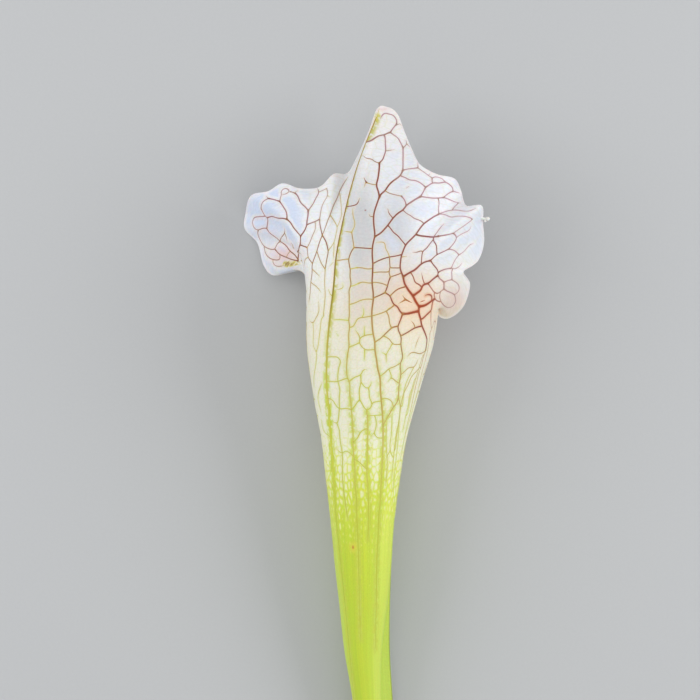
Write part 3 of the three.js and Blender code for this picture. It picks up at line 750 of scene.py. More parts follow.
def smooth_line(corners, step):
    """Points every step along a smooth curve through the corners, measured along its chords."""
    corners = np.asarray(corners, float)
    length = length_along(corners)
    at = np.linspace(0, length[-1], max(3, round(length[-1] / step) + 1))
    return curve_through(open_ended(np.column_stack([length, corners])), at)


drawn = [vein for region in VEINS_PX.values() for vein in region]
traced = [(rank, smooth_line(photo_mm(pixels), VEIN_STEP)) for rank, pixels in drawn]
midrib_flat = smooth_line(photo_mm(MIDRIB_PX), VEIN_STEP)
traced.append((MIDRIB_RANK, midrib_flat))


def joined(index):
    """One traced vein, with each end drawn up to the vein beside it, and whether each end meets one."""
    rank, flat = traced[index]
    others = np.concatenate([line for k, (_, line) in enumerate(traced) if k != index])
    meets = []
    for end in (0, -1):
        gap = np.linalg.norm(others - flat[end], axis=1)
        meets.append(bool(gap.min() < SNAP))
        if meets[-1]:
            extra = others[gap.argmin()][None]
            flat = np.vstack([extra, flat]) if end == 0 else np.vstack([flat, extra])
    return rank, flat, meets


veins = [joined(k) for k in range(len(traced))]
all_flat = np.concatenate([flat for _, flat, _ in veins])
all_line, all_ring = locate(all_flat)
cuts = np.cumsum([len(flat) for _, flat, _ in veins])[:-1]


def steady(values, passes):
    """Passes of a running mean of three, with the ends kept."""
    for _ in range(passes):
        values = np.concatenate([values[:1], (values[:-2] + values[1:-1] + values[2:]) / 3, values[-1:]])
    return values


paths = []
for (rank, _, meets), line, ring in zip(veins, np.split(all_line, cuts), np.split(all_ring, cuts)):
    passes = MIDRIB_PASSES if rank == MIDRIB_RANK else STEADY_PASSES
    line = steady(np.unwrap(line, period=LINES), passes)
    ring = steady(ring, passes)
    paths.append({"rank": rank, "meets": meets, "line": line, "ring": ring})
found = np.concatenate([on_grid(skin, path["line"], path["ring"])[:, :2] for path in paths])
miss = np.linalg.norm(found - all_flat, axis=1)
print("vein sections:", len(miss), " mean miss, mm:", miss.mean().round(3), " worst:", miss.max().round(2))

# %% [markdown]
# ## The side that the picture doesn't show
#
# The front of the tube and the undersides of the lobes need veins too. On a real leaf the veins run up the
# tube side by side, with rungs between them that leave long, irregular windows. Cells round scattered seeds
# make such a net: each wall between two cells is as far from the one seed as from the other. The seeds
# stand in columns, so the walls between columns line up into veins that run lengthwise.

# %% Grow a net on the hidden side
RADIUS = 27.0  # millimetres; an angle round the leaf times this is a distance on its tube
COLUMNS, CELL_HEIGHT, COLUMN_JITTER = 30, 8.0, 0.16
STRETCH = 1.5  # how much longer than wide the cells are meant to be
NET_FROM = 196.0  # height where the net begins
CELL_STEPS = (0.7, 1.3)  # least and greatest step up a column, in cells
SPARE_BELOW, SPARE_ABOVE = 25, 40  # how far the seeds go on past the net, millimetres
MERGE = 1e-6  # seeds nearer than this are one
rng = np.random.default_rng(7)

ring_steps = np.linalg.norm(np.diff(plain, axis=0), axis=-1)
arc_up = np.concatenate([np.zeros((1, LINES)), np.cumsum(ring_steps, axis=0)])


def grid_place(turn_mm, up_mm):
    """Line and ring numbers of places given by their distances round and up the leaf."""
    around = np.degrees(turn_mm / RADIUS)
    around = (around - AROUND[0]) % 360 + AROUND[0]
    line = np.interp(around, np.append(AROUND, AROUND[0] + 360), np.arange(LINES + 1))
    columns = arc_up[:, np.round(line).astype(int) % LINES]
    ring = np.clip((columns <= up_mm).sum(axis=0) - 1, 0, RINGS - 2)
    below = np.take_along_axis(columns, ring[None], 0)[0]
    above = np.take_along_axis(columns, ring[None] + 1, 0)[0]
    return line, np.clip(ring + (up_mm - below) / (above - below), 0, LAST_PLACE)


def scattered_seeds():
    """Seeds in columns round the leaf, each column with its own start and uneven steps."""
    pitch = 2 * np.pi * RADIUS / COLUMNS
    count = int((arc_up[-1].max() + SPARE_ABOVE - NET_FROM) / CELL_HEIGHT) + 2
    steps = CELL_HEIGHT * rng.uniform(*CELL_STEPS, (COLUMNS, count))
    up = NET_FROM - SPARE_BELOW + CELL_HEIGHT * rng.random((COLUMNS, 1)) + np.cumsum(steps, axis=1)
    turn = pitch * (np.arange(COLUMNS)[:, None] + rng.uniform(-COLUMN_JITTER, COLUMN_JITTER, up.shape))
    return np.column_stack([turn.ravel(), up.ravel()])


def cell_walls(seeds, period):
    """Ends of the walls between the cells of the seeds, on a sheet that repeats round the leaf. A wall
    joins the centres of the circles through the corners of two neighbouring triangles of seeds."""
    turns = np.concatenate([seeds + (shift, 0) for shift in (-period, 0, period)])
    flat = turns / (1, STRETCH)
    corners = np.array(delaunay_2d_cdt([tuple(p) for p in flat], [], [], 0, MERGE)[2])
    a, b, c = flat[corners[:, 0]], flat[corners[:, 1]], flat[corners[:, 2]]
    ab, ac = b - a, c - a
    twice = 2 * (ab[:, 0] * ac[:, 1] - ab[:, 1] * ac[:, 0])[:, None]
    square_b, square_c = (ab**2).sum(axis=1, keepdims=True), (ac**2).sum(axis=1, keepdims=True)
    across = square_b * ac[:, ::-1] - square_c * ab[:, ::-1]
    centres = a + across * (1, -1) / twice
    sides = np.sort(np.concatenate([corners[:, [0, 1]], corners[:, [1, 2]], corners[:, [2, 0]]]), axis=1)
    owner = np.tile(np.arange(len(corners)), 3)
    order = np.lexsort((sides[:, 1], sides[:, 0]))
    sides, owner = sides[order], owner[order]
    shared = (sides[1:] == sides[:-1]).all(axis=1)
    walls = np.stack([centres[owner[:-1][shared]], centres[owner[1:][shared]]], axis=1) * (1, STRETCH)
    middle = walls.mean(axis=1)[:, 0]
    return walls[(middle >= 0) & (middle < period)]


walls = cell_walls(scattered_seeds(), 2 * np.pi * RADIUS)
print("walls between cells:", len(walls))

# %% [markdown]
# Most of these walls lie where the picture shows other veins, so they go. Kept are the walls on skin that
# faces away from the camera, clear of the traced veins and of the margin. Each bows a little to one side,
# because a straight one would look ruled.

# %% Keep the walls on the hidden side
NET_STEP = 1.0  # millimetres between sections
NET_CLEAR = 1.4  # how far the middle of a wall keeps from a traced vein, millimetres
NET_SLOPE = 0.1  # walls on skin that faces up more than this are left to the traced veins
TOP_CLEAR, SHORTEST_WALL = 1.5, 0.4  # millimetres
ARMPIT_PX, ARMPIT_CLEAR = (439.5, 309), 3.0  # no walls in the steep fold under the right lobe, millimetres
LENGTHWISE = 1.6  # a wall whose rise is more than this many times its run is a lengthwise vein
WALL_BOW = 0.12  # greatest sideways bow of a wall, as a share of its length
RUNG_RANKS, LENGTHWISE_RANKS = [0, 1, 1], [1, 2]  # drawn from at random

middles = walls.mean(axis=1)
line, ring = grid_place(middles[:, 0], middles[:, 1])
column_top = np.interp(line, np.arange(LINES + 1), np.append(arc_up[-1], arc_up[-1][0]))
there, slope = on_grid(skin, line, ring), on_grid(skin_out, line, ring)[:, 2]
traced_points = np.concatenate([on_grid(skin, path["line"], path["ring"]) for path in paths])


def distance_to(points, targets):
    """Distance from each point to the nearest target, in chunks that fit in memory."""
    targets = targets.astype(np.float32)
    found = []
    for some in np.array_split(points.astype(np.float32), len(points) // POINTS_AT_ONCE + 1):
        square = (some**2).sum(1)[:, None] + (targets**2).sum(1) - 2 * some @ targets.T
        found.append(np.sqrt(np.maximum(square.min(axis=1), 0)))
    return np.concatenate(found)


clear = distance_to(there, traced_points) > NET_CLEAR
below_margin = (walls[:, :, 1] < column_top[:, None] - TOP_CLEAR).all(axis=1)
above_foot = (walls[:, :, 1] > NET_FROM).all(axis=1)
length = np.linalg.norm(walls[:, 1] - walls[:, 0], axis=1)
in_fold = np.linalg.norm(there[:, :2] - photo_mm(ARMPIT_PX), axis=1) < ARMPIT_CLEAR
long_enough = length > SHORTEST_WALL
walls = walls[clear & below_margin & above_foot & ~in_fold & long_enough & (slope < NET_SLOPE)]
run, rise = np.abs(walls[:, 1] - walls[:, 0]).T
lengthwise = rise > LENGTHWISE * run
print("walls of the net:", len(walls), " of them lengthwise:", lengthwise.sum())


def wall_path(ends, runs_up):
    """One wall as a path on the skin, bowed a little to one side."""
    along = ends[1] - ends[0]
    steps = max(3, round(np.linalg.norm(along) / NET_STEP) + 1)
    share = np.linspace(0, 1, steps)[:, None]
    bow = rng.uniform(-WALL_BOW, WALL_BOW) * np.array([-along[1], along[0]])
    flat = ends[0] + share * along + 4 * share * (1 - share) * bow
    line, ring = grid_place(flat[:, 0], flat[:, 1])
    rank = rng.choice(LENGTHWISE_RANKS if runs_up else RUNG_RANKS)
    return {"rank": int(rank), "meets": [True, True], "line": np.unwrap(line, period=LINES), "ring": ring}


net_paths = [wall_path(ends, runs_up) for ends, runs_up in zip(walls, lengthwise)]
print("sections in the net:", sum(len(path["line"]) for path in net_paths))

# %% [markdown]
# ## Ribs
#
# A curve with a bevel could follow each vein, but it would not keep its flat side to the skin. So each rib
# is its own strip: a section of ten points with its middle a little above the outer face, its edges just
# under it, and three points that come out on the inner face, because a vein runs through the whole
# thickness of the leaf.

# %% Sweep a rib
# By rank: half of the coloured core and its rise in millimetres, and how deep its colour is
HALF_WIDTH = {0: 0.17, 1: 0.19, 2: 0.23, 3: 0.325, 4: 0.37}
RISE = {0: 0.05, 1: 0.07, 2: 0.10, 3: 0.14, 4: 0.30}
DEPTH_OF_COLOUR = {0: 0.78, 1: 0.83, 2: 0.93, 3: 1.0, 4: 1.0}
KNOT, KNOT_REACH = 0.45, 0.8  # how much a vein swells where it meets another, and over how many millimetres
TAPER, END_SHARE = 2.5, 0.25  # a free end thins out over this many millimetres, to this share of the width

# The section: places across in half widths, and out in rises on the outer side and in millimetres on the
# inner one. The core is the share of the core's colour at each of the ten points.
OUTER_ACROSS = np.array([-1.7, -1.15, -0.7, 0, 0.7, 1.15, 1.7])
OUTER_RISE = np.array([-0.4, 0.25, 0.75, 1, 0.75, 0.25, -0.4])
INNER_ACROSS = np.array([1.0, 0, -1.0])
INNER_SINK = np.array([-0.05, 0.1, -0.05])
CORE = np.array([0, 0.3, 0.95, 1, 0.95, 0.3, 0, 0.3, 1, 0.3])


def end_gap(points, meets, which):
    """Distance along the rib to the nearest end that meets a vein, or that meets none, as which says. It is
    infinite where there is no such end."""
    length = length_along(points)
    gaps = [gap for gap, meet in zip((length, length[-1] - length), meets) if meet == which]
    return np.min([np.full(len(length), np.inf), *gaps], axis=0)


def knots(points, meets):
    """Bells at the ends that meet a vein: the normal curve of the distance over the reach."""
    return np.exp(-((end_gap(points, meets, True) / KNOT_REACH) ** 2))


def end_taper(points, meets):
    """The end's share of the width at a free end, and a smooth step to 1 along the taper."""
    return END_SHARE + (1 - END_SHARE) * smooth(end_gap(points, meets, False) / TAPER)


def rib(line, ring, half_width, rise):
    """Vertices of one rib: at each place on its path, a step sideways by the half width times the section's
    own share, and a step out of the skin by the rise times its share."""
    middle = on_grid(skin, line, ring)
    out = unit(on_grid(skin_out, line, ring))
    side = unit(np.cross(np.gradient(middle, axis=0), out))
    outer_across = half_width[:, None] * OUTER_ACROSS
    outer_up = rise[:, None] * OUTER_RISE
    inner_across = half_width[:, None] * INNER_ACROSS
    inner_up = np.broadcast_to(-WALL - INNER_SINK, inner_across.shape)
    across = np.concatenate([outer_across, inner_across], axis=1)[..., None]
    up = np.concatenate([outer_up, inner_up], axis=1)[..., None]
    return middle[:, None] + across * side[:, None] + up * out[:, None]


def rib_faces(sections, first, width):
    """Quads between the sections of one rib, and a fan of triangles over each end."""
    index = first + np.arange(sections * width).reshape(sections, width)
    ends = []
    for ring, turned in ((index[0], True), (index[-1], False)):
        fan_out = np.stack([np.full(width - 2, ring[0]), ring[1:-1], ring[2:]], -1)
        ends.append(fan_out[:, ::-1] if turned else fan_out)
    return grid_faces(index), np.concatenate(ends)


def add_ribs(name, ribs, material):
    """One object from many ribs; each brings its vertices and values at them."""
    all_points, all_quads, all_triangles, first = [], [], [], 0
    for each in ribs:
        sections, width, _ = each["points"].shape
        quads, triangles = rib_faces(sections, first, width)
        all_points.append(each["points"].reshape(-1, 3))
        all_quads.append(quads)
        all_triangles.append(triangles)
        first += sections * width
    keys = [key for key in ribs[0] if key != "points"]
    values = {key: np.concatenate([each[key].ravel() for each in ribs]) for key in keys}
    groups = [np.concatenate(all_quads), np.concatenate(all_triangles)]
    print(name, "triangles:", 2 * len(groups[0]) + len(groups[1]))
    return add_mesh(name, np.concatenate(all_points), groups, material, values)


print("points in a rib's section:", len(CORE))

# %% [markdown]
# Veins change colour along the leaf: mauve-crimson on the lobes, brown on the back of the hood, rust at the
# right corner of the mouth, then gold, olive and yellow-green down the tube. They turn soonest beside the
# midrib, and thin ones sooner than thick ones. These fields of place give each vertex its share of olive
# and of rust.

# %% Colour fields
# Where the veins pass from crimson to brown: across and down the picture
BROWN_FROM_PX = [
    (240, 285), (270, 252), (300, 227), (330, 205), (350, 205), (375, 235), (390, 265), (405, 280),
    (425, 292), (436, 292), (450, 335),
]
OLIVE_BY_PX = [(-100, 0), (0, 0.3), (60, 0.5), (120, 0.8), (210, 1)]  # share of olive below that line
LATER_PX = {0: 10, 1: 30, 2: 50, 3: 80, 4: 0}  # how much further down each rank turns
EARLY_OLIVE = {0: 0.26, 1: 0.1, 2: 0.03, 3: 0.12, 4: 0}  # share of olive that it has from the start
EARLY_FROM_PX, EARLY_TO_PX, EARLY_OVER_PX = 310, 430, 30  # between these columns, and the fades inside them
LEFT_LOBE_PX, LEFT_OVER_PX, RIGHT_OVER_PX = 322, 40, 26  # where the left lobe begins, and the lobes' fades
# The cool tint is a painted bluish shade on the lobes
COOL_SHADE_RIGHT, COOL_SHADE_LEFT = 0.5, 1.3  # strength of the cool tint on the lobes
COOL_SHADE_FROM_PX, COOL_SHADE_OVER_PX = 125, 40  # the row below which it comes in, and the fade

# Patches of another tint, some of them painted shade: middle, size and strength of each
PATCHES_PX = {
    "rust": [((417, 303), (25, 27), 1)],
    "stain": [((377.5, 117), (4, 5.5), 0.55), ((287, 264), (4, 3), 1), ((294, 263), (7, 2.6), 0.8)],
    "blush": [((383, 108.5), (8, 3), 1), ((284, 255), (15, 10), 1), ((455, 300), (12, 14), 0.8)],
    # The next patches are painted grey shade up the middle of the hood and right of it, where the blade
    # faces away from the light
    "dusk": [((360, 234), (18, 56), 1.2), ((396, 230), (19, 42), 1)],
    "tan": [((396, 290), (28, 34), 0.62), ((358, 305), (22, 36), 0.38), ((287, 256), (10, 7), 0.35)],
    # A painted lavender shade on the left part of the left lobe
    "mauve": [((266, 224), (18, 16), 0.3)],
}


def to_pixels(points):
    """Millimetres of the tables to pixels of the picture, seen from above."""
    return np.stack([points[..., 0] / PIXEL + AXIS_PX, CUT_END_PX - points[..., 1] / PIXEL], -1)


def bell(pixels, middle, size):
    """1 at the middle, falling off as the normal curve does with the distance over the size."""
    offset = (pixels - np.array(middle)) / np.array(size)
    return np.exp(-(offset**2).sum(axis=-1))


def bells(pixels, table):
    """Sum of bells, each with its strength, at most 1."""
    return np.minimum(sum(share * bell(pixels, middle, size) for middle, size, share in table), 1)


def colour_fields(points, rank=0):
    """Height and shares of olive, rust, the painted shades and the other tints at points in millimetres of
    the tables.
    """
    pixels = to_pixels(points)
    across, down = pixels[..., 0], pixels[..., 1]
    brown_from = np.interp(across, *np.transpose(BROWN_FROM_PX)) + LATER_PX[rank]
    olive = np.interp(down - brown_from, *np.transpose(OLIVE_BY_PX))
    early = EARLY_OLIVE[rank] * smooth((EARLY_TO_PX - across) / EARLY_OVER_PX)
    early = early * smooth((across - EARLY_FROM_PX) / EARLY_OVER_PX)
    right_lobe = smooth((across - AXIS_PX) / RIGHT_OVER_PX)
    left_lobe = smooth((LEFT_LOBE_PX - across) / LEFT_OVER_PX)
    below_tip = smooth((down - COOL_SHADE_FROM_PX) / COOL_SHADE_OVER_PX)
    return {
        "height": points[..., 1],
        "olive": np.minimum(olive + early, 1),
        "cool": (COOL_SHADE_RIGHT * right_lobe + COOL_SHADE_LEFT * left_lobe) * below_tip,
        **{key: bells(pixels, patches) for key, patches in PATCHES_PX.items()},
    }


throat_fields = colour_fields(on_tube(0.0, THROAT), MIDRIB_RANK)
print("olive at the midrib of the throat:", throat_fields["olive"].round(2))

# %% [markdown]
# A vein isn't equally wide and equally dark all along. It swells at its knots and in the rusty corner, and
# thins out at a free end and low on the tube. Near the margin, where light comes through the lobes, it is
# paler and keeps its mauve.

# %% One rib and its values
INLAND_FROM, INLAND_OVER = 14.0, 16.0  # millimetres from the margin: where veins turn darker, and the fade
MARGIN_DEPTH, INLAND_DEPTH, LEFT_DEPTH = 0.77, 0.38, 0.2  # depth of colour at the margin, and additions
INLAND_BROWN, KNOT_OLIVE = 0.11, 0.2  # least share of olive away from the margin, and more at a knot
LOW_WIDTH, LOW_FROM, LOW_OVER = 0.35, 140, 80  # share of the width below this height, and the fade above
RUST_SWELL = 0.6  # how much wider a vein is in the rusty corner
TIP_THINNING, TIP_FROM, TIP_OVER = 0.4, 362, 12  # the midrib thins out towards the tip

TURN_MM = np.radians((AROUND + 180) % 360 - 180) * RADIUS  # how far round from the midrib


def make_rib(path):
    """One rib with its values: its width is that of its rank, thinner at free ends and low on the tube, and
    wider at knots and in the rusty corner."""
    rank = path["rank"]
    middle = on_grid(skin, path["line"], path["ring"])
    taper = end_taper(middle, path["meets"])
    taper *= LOW_WIDTH + (1 - LOW_WIDTH) * smooth((middle[:, 1] - LOW_FROM) / LOW_OVER)
    knot = knots(middle, path["meets"]) if rank < MIDRIB_RANK else np.zeros(len(middle))
    taper *= 1 + KNOT * knot
    taper *= 1 + RUST_SWELL * bells(to_pixels(middle), PATCHES_PX["rust"])
    if rank == MIDRIB_RANK:
        taper *= 1 - TIP_THINNING * smooth((middle[:, 1] - TIP_FROM) / TIP_OVER)
    points = rib(path["line"], path["ring"], HALF_WIDTH[rank] * taper, RISE[rank] * taper)
    gap = on_grid((arc_up[-1] - arc_up)[..., None], path["line"], path["ring"])
    inland = smooth((gap - INLAND_FROM) / INLAND_OVER)
    leftward = smooth((LEFT_LOBE_PX - to_pixels(middle)[:, :1]) / LEFT_OVER_PX)
    depth = MARGIN_DEPTH + INLAND_DEPTH * inland + LEFT_DEPTH * leftward
    core = CORE * np.minimum(DEPTH_OF_COLOUR[rank] * depth, 1)
    turn = np.interp(path["line"] % LINES, np.arange(LINES), TURN_MM)
    turn = np.broadcast_to(turn[:, None], core.shape)
    fields = colour_fields(points, rank)
    fields["olive"] = np.maximum(fields["olive"], INLAND_BROWN * inland)
    fields["olive"] = np.minimum(fields["olive"] + KNOT_OLIVE * knot[:, None], 1)
    return {"points": points, "core": core, "turn": turn, **fields}


print("half widths of the ranks, mm:", HALF_WIDTH)

# %% [markdown]
# A shader can't find the nearest vein by itself. So every vertex of the skin carries numbers for it: how
# far the nearest vein and the nearest main vein are, on which side of the midrib it lies and how far from
# it, and the fields of place from above. They are worked out once, for the whole grid.

# %% Values on the skin
FARTHEST = {"near": 6, "near_main": 8, "rib_side": 30}  # distances are cut off here, millimetres
vein_points = np.concatenate([on_grid(skin, path["line"], path["ring"]) for path in paths + net_paths])
vein_ranks = np.concatenate([np.full(len(path["line"]), path["rank"]) for path in paths + net_paths])
midrib_path = next(path for path in paths if path["rank"] == MIDRIB_RANK)
midrib_points = on_grid(skin, midrib_path["line"], midrib_path["ring"])

flat_skin = skin.reshape(-1, 3)
down_midrib = np.argsort(midrib_path["ring"])
midrib_line = np.interp(np.arange(RINGS), midrib_path["ring"][down_midrib], midrib_path["line"][down_midrib])
beside = (np.arange(LINES)[None] - midrib_line[:, None] + LINES / 2) % LINES - LINES / 2
gaps = {
    "near": distance_to(flat_skin, vein_points),
    "near_main": distance_to(flat_skin, vein_points[vein_ranks >= MAIN_RANK]),
    "rib_side": distance_to(flat_skin, midrib_points),
}
gaps = {key: np.minimum(gap, FARTHEST[key]) for key, gap in gaps.items()}
values = {
    **gaps,
    "rib_side": np.sign(beside).ravel() * gaps["rib_side"],
    "margin_gap": (arc_up[-1] - arc_up).ravel(),
    **{key: field.ravel() for key, field in colour_fields(skin).items()},
}
leaf_map = np.stack([np.tile(TURN_MM, (RINGS, 1)), arc_up], -1)
print("values on the skin:", ", ".join(values))

# %% [markdown]
# Between the veins the tissue stands up a little, as a quilt does between its seams. A bump in the material
# would be lost on the silhouette and in the exported mesh, so the skin itself is moved.

# %% Quilting
QUILT, QUILT_REACH = 0.13, 2.2  # millimetres: how high, and how far from a vein it is full
swell = QUILT * smooth(values["near"].reshape(RINGS, LINES) / QUILT_REACH)[..., None]
skin = skin + swell * skin_out
plain = plain + swell * plain_out
skin_out = grid_normals(skin)
print("quilt, mm:", float(swell.max().round(3)))

# %% [markdown]
# ## Finishes
#
# Every finish is procedural. A small function adds a node, sets it and links it, so that a shader reads as
# a list of its steps. Colours are written as sRGB and turned linear in one place. The leaf's drawing is
# built up as a painter would, in layers: a tint is laid over the colour so far, as strongly as its shares
# say. The layers stand in tables, and one loop paints them.

# %% Helpers for shaders
def linear(hexadecimal):
    """An sRGB colour such as "e2e6f2" to linear red, green, blue and alpha."""
    parts = np.array([int(hexadecimal[k : k + 2], 16) for k in (0, 2, 4)]) / 255
    values = np.where(parts <= 0.04045, parts / 12.92, ((parts + 0.055) / 1.055) ** 2.4)
    return (*values.tolist(), 1.0)


def shown(sockets):
    """The sockets that a node shows with its present settings."""
    return [socket for socket in sockets if socket.enabled]


def add_node(tree, kind, settings, *values, **named):
    """A node of a kind with its settings. Values go to its inputs in order, and named ones to the input of
    that name; a value that is a node is linked from its first output."""
    node = tree.nodes.new(kind)
    for key, value in settings.items():
        setattr(node, key, value)
    inputs = shown(node.inputs)
    by_name = {socket.name.replace(" ", "_"): socket for socket in reversed(inputs)}
    wanted = list(zip(inputs, values)) + [(by_name[key], value) for key, value in named.items()]
    for socket, value in wanted:
        if isinstance(value, bpy.types.Node):
            value = shown(value.outputs)[0]
        if isinstance(value, bpy.types.NodeSocket):
            tree.links.new(value, socket)
        elif value is not None:
            socket.default_value = value
    return node


def fresh_tree(name):
    """A new material with an empty node tree."""
    material = bpy.data.materials.new(name)
    material.use_nodes = True
    material.node_tree.nodes.clear()
    return material, material.node_tree


MATH, VECTOR, MIX, RANGE = "ShaderNodeMath", "ShaderNodeVectorMath", "ShaderNodeMix", "ShaderNodeMapRange"
ATTRIBUTE, RAMP, NOISE = "ShaderNodeAttribute", "ShaderNodeValToRGB", "ShaderNodeTexNoise"
COLOUR, SOFT, FLAT = {"data_type": "RGBA"}, {"interpolation_type": "SMOOTHSTEP"}, {"noise_dimensions": "2D"}
TIMES, OVER, PLUS = {"operation": "MULTIPLY"}, {"operation": "DIVIDE"}, {"operation": "ADD"}


def stops(ramp, places, low, high):
    """Set the colours of a ramp at places given in real units between low and high."""
    elements = ramp.color_ramp.elements
    while len(elements) < len(places):
        elements.new(0.5)
    for element, (place, colour) in zip(elements, places):
        element.position = (place - low) / (high - low)
        element.color = linear(colour)
    return ramp


def layer(tree, colour, tint, *shares):
    """The colour with a tint, a hex value or a node, laid over it in the proportion of all shares
    multiplied."""
    share = shares[0]
    for other in shares[1:]:
        share = add_node(tree, MATH, TIMES, share, other)
    return add_node(tree, MIX, COLOUR, share, colour, linear(tint) if isinstance(tint, str) else tint)


def share_of(tree, at, share, curve=SOFT):
    """A share as a number or a socket. It is written as a number, as the name of a value, or as a name with
    two of its values and the shares that they give, with a smooth step or another curve between."""
    if isinstance(share, str):
        return at[share]
    if isinstance(share, tuple):
        name, *ends = share
        return add_node(tree, RANGE, curve, at[name], *[float(end) for end in ends])
    return share


def paint(tree, at, colour, layers):
    """The colour under a list of layers, laid over it in turn. Each is a tint, which is a hex value or the
    name of a colour, and its shares."""
    for tint, *shares in layers:
        colour = layer(tree, colour, at.get(tint, tint), *[share_of(tree, at, share) for share in shares])
    return colour


def waxy(tree, colour, **sockets):
    """Soft tissue under a thin coat of its own wax: satin, with a little light let through."""
    shader = add_node(tree, "ShaderNodeBsdfPrincipled", {}, Base_Color=colour, **sockets)
    add_node(tree, "ShaderNodeOutputMaterial", {}, Surface=shader)


print("middle grey, linear:", round(linear("808080")[0], 3))

# %% [markdown]
# The tube's green is shared by the blade and its ribs, so that a rib that fades out leaves no line. It has a
# ramp up the leaf and a ramp round it. The ramp round it holds the green beside the midrib, and also painted
# light: a painted highlight down the right side of the tube, a painted rim of light down its left side, and
# painted shade beside the keel.

# %% Green of the tube, with painted highlight and shade
LEAF_TOP = 382.0  # millimetres; where the ramps along the leaf end
GREEN_UP = [
    (0, "939c40"), (60, "abbc44"), (110, "c2d84a"), (165, "c8e044"), (190, "d2e442"), (208, "dee94e"),
    (235, "dce452"), (262, "dbdd74"), (300, "dedba0"),
]
# Millimetres round from the midrib, on a tube of RADIUS
# Painted light round the tube: a rim of light near -26, a highlight band from 44 to 58, and shade from 64 on
# towards the keel
GREEN_AND_LIGHT_ROUND = [
    (-86, "bdd55c"), (-40, "c8e05c"), (-26, "d8ea82"), (-3, "cbe16c"), (0.8, "c3d94a"), (3, "bfd734"),
    (16, "c4db34"), (19, "cddb38"), (24, "d0de3e"), (30, "ccdf42"), (40, "cce24c"), (44, "deef68"),
    (58, "ddee6a"), (64, "c6e054"), (86, "bdd55c"),
]
# The ramp round the tube, with its painted highlight and shade, comes in between these heights
ROUND_FROM, ROUND_FULL, ROUND_SHARE = 236.0, 196.0, 0.62  # heights between which the stripes come in


def up_the_leaf(tree, height, places):
    """A ramp of colours whose places are heights in millimetres."""
    return stops(add_node(tree, RAMP, {}, add_node(tree, MATH, OVER, height, LEAF_TOP)), places, 0, LEAF_TOP)


def tube_green(tree, height, turn):
    """The ramp up the leaf, mixed on the lower tube with the ramp round it, which holds painted highlight
    and shade.
    """
    up = up_the_leaf(tree, height, GREEN_UP)
    low, high = GREEN_AND_LIGHT_ROUND[0][0], GREEN_AND_LIGHT_ROUND[-1][0]
    about = add_node(tree, RAMP, {}, add_node(tree, RANGE, {}, turn, float(low), float(high), 0.0, 1.0))
    stops(about, GREEN_AND_LIGHT_ROUND, low, high)
    share = add_node(tree, RANGE, SOFT, height, ROUND_FROM, ROUND_FULL, 0.0, ROUND_SHARE)
    return layer(tree, up, about, share)


print("colours up the leaf:", len(GREEN_UP), " round it:", len(GREEN_AND_LIGHT_ROUND))

# %% [markdown]
# The blade's pattern follows values that lie on its vertices, such as the distance to the nearest vein, and
# a map of the leaf in real millimetres. Colours on a real leaf never change along a level line, so a slow
# cloud of noise moves the heights up and down, and tatters of noise tear the edges of the green.

# %% What the tissue's pattern reads
SKIN_VALUES = ("height", "near", "near_main", "rib_side", "olive", "margin_gap", "cool", *PATCHES_PX)
# Noise on the map: its scale per millimetre round and up the leaf, its detail and its roughness
NOISES = {
    "cloud": ((0.16, 0.07), 3.0, 0.5),  # about 6 mm wide and 14 mm long
    "tatters": ((0.38, 0.38), 2.0, 0.5),  # about 2.6 mm
    "blotches": ((0.9, 0.9), 3.0, 0.5),  # about a millimetre
    "streaks": ((0.55, 0.012), 5.0, 0.65),  # about 2 mm wide and 8 cm long
    "grain": ((1.1, 1.1), 4.0, 0.6),  # a little under a millimetre
    "pores": ((3.0, 3.0), 2.0, 0.5),  # a third of a millimetre
}
CLOUD_SHIFT = 26.0  # millimetres from the highest to the lowest shift
RAGGED = ("tatters", 0.36, 0.58, 0.15, 1)  # a value, two places on it, and the shares that they give


def read_values(tree, names):
    """Sockets that read the values on the vertices, by name."""
    return {name: add_node(tree, ATTRIBUTE, {"attribute_name": name}).outputs["Fac"] for name in names}


def read_skin(tree):
    """The skin's values, the map and the noises by name, the height shifted by the cloud, and the sides of
    the midrib."""
    at = read_values(tree, SKIN_VALUES)
    at["map"] = add_node(tree, "ShaderNodeUVMap", {"uv_map": "leaf"})
    at["turn"] = add_node(tree, "ShaderNodeSeparateXYZ", {}, at["map"])
    for name, (scale, detail, roughness) in NOISES.items():
        place = add_node(tree, VECTOR, TIMES, at["map"], (*scale, 0))
        at[name] = add_node(tree, NOISE, FLAT, place, Scale=1.0, Detail=detail, Roughness=roughness)
    shift = add_node(tree, MATH, {"operation": "MULTIPLY_ADD"}, at["cloud"], CLOUD_SHIFT, -CLOUD_SHIFT / 2)
    at["rough_height"] = add_node(tree, MATH, PLUS, at["height"], shift)
    at["left"] = add_node(tree, MATH, {"operation": "LESS_THAN"}, at["rib_side"], 0.0)
    at["right"] = add_node(tree, MATH, {"operation": "GREATER_THAN"}, at["rib_side"], 0.0)
    at["rib_gap"] = add_node(tree, MATH, {"operation": "ABSOLUTE"}, at["rib_side"])
    at["ragged"] = share_of(tree, at, RAGGED)
    return at


print("noises on the map:", ", ".join(NOISES))

# %% [markdown]
# White-topped leaves let light in through pale windows between green walls. The windows are wide open on
# the hood, where they run together to white, and shut one by one down the tube. A Voronoi texture gives the
# walls: its distance to a cell's edge is green below a width and pale above it, and the width grows down
# the leaf.

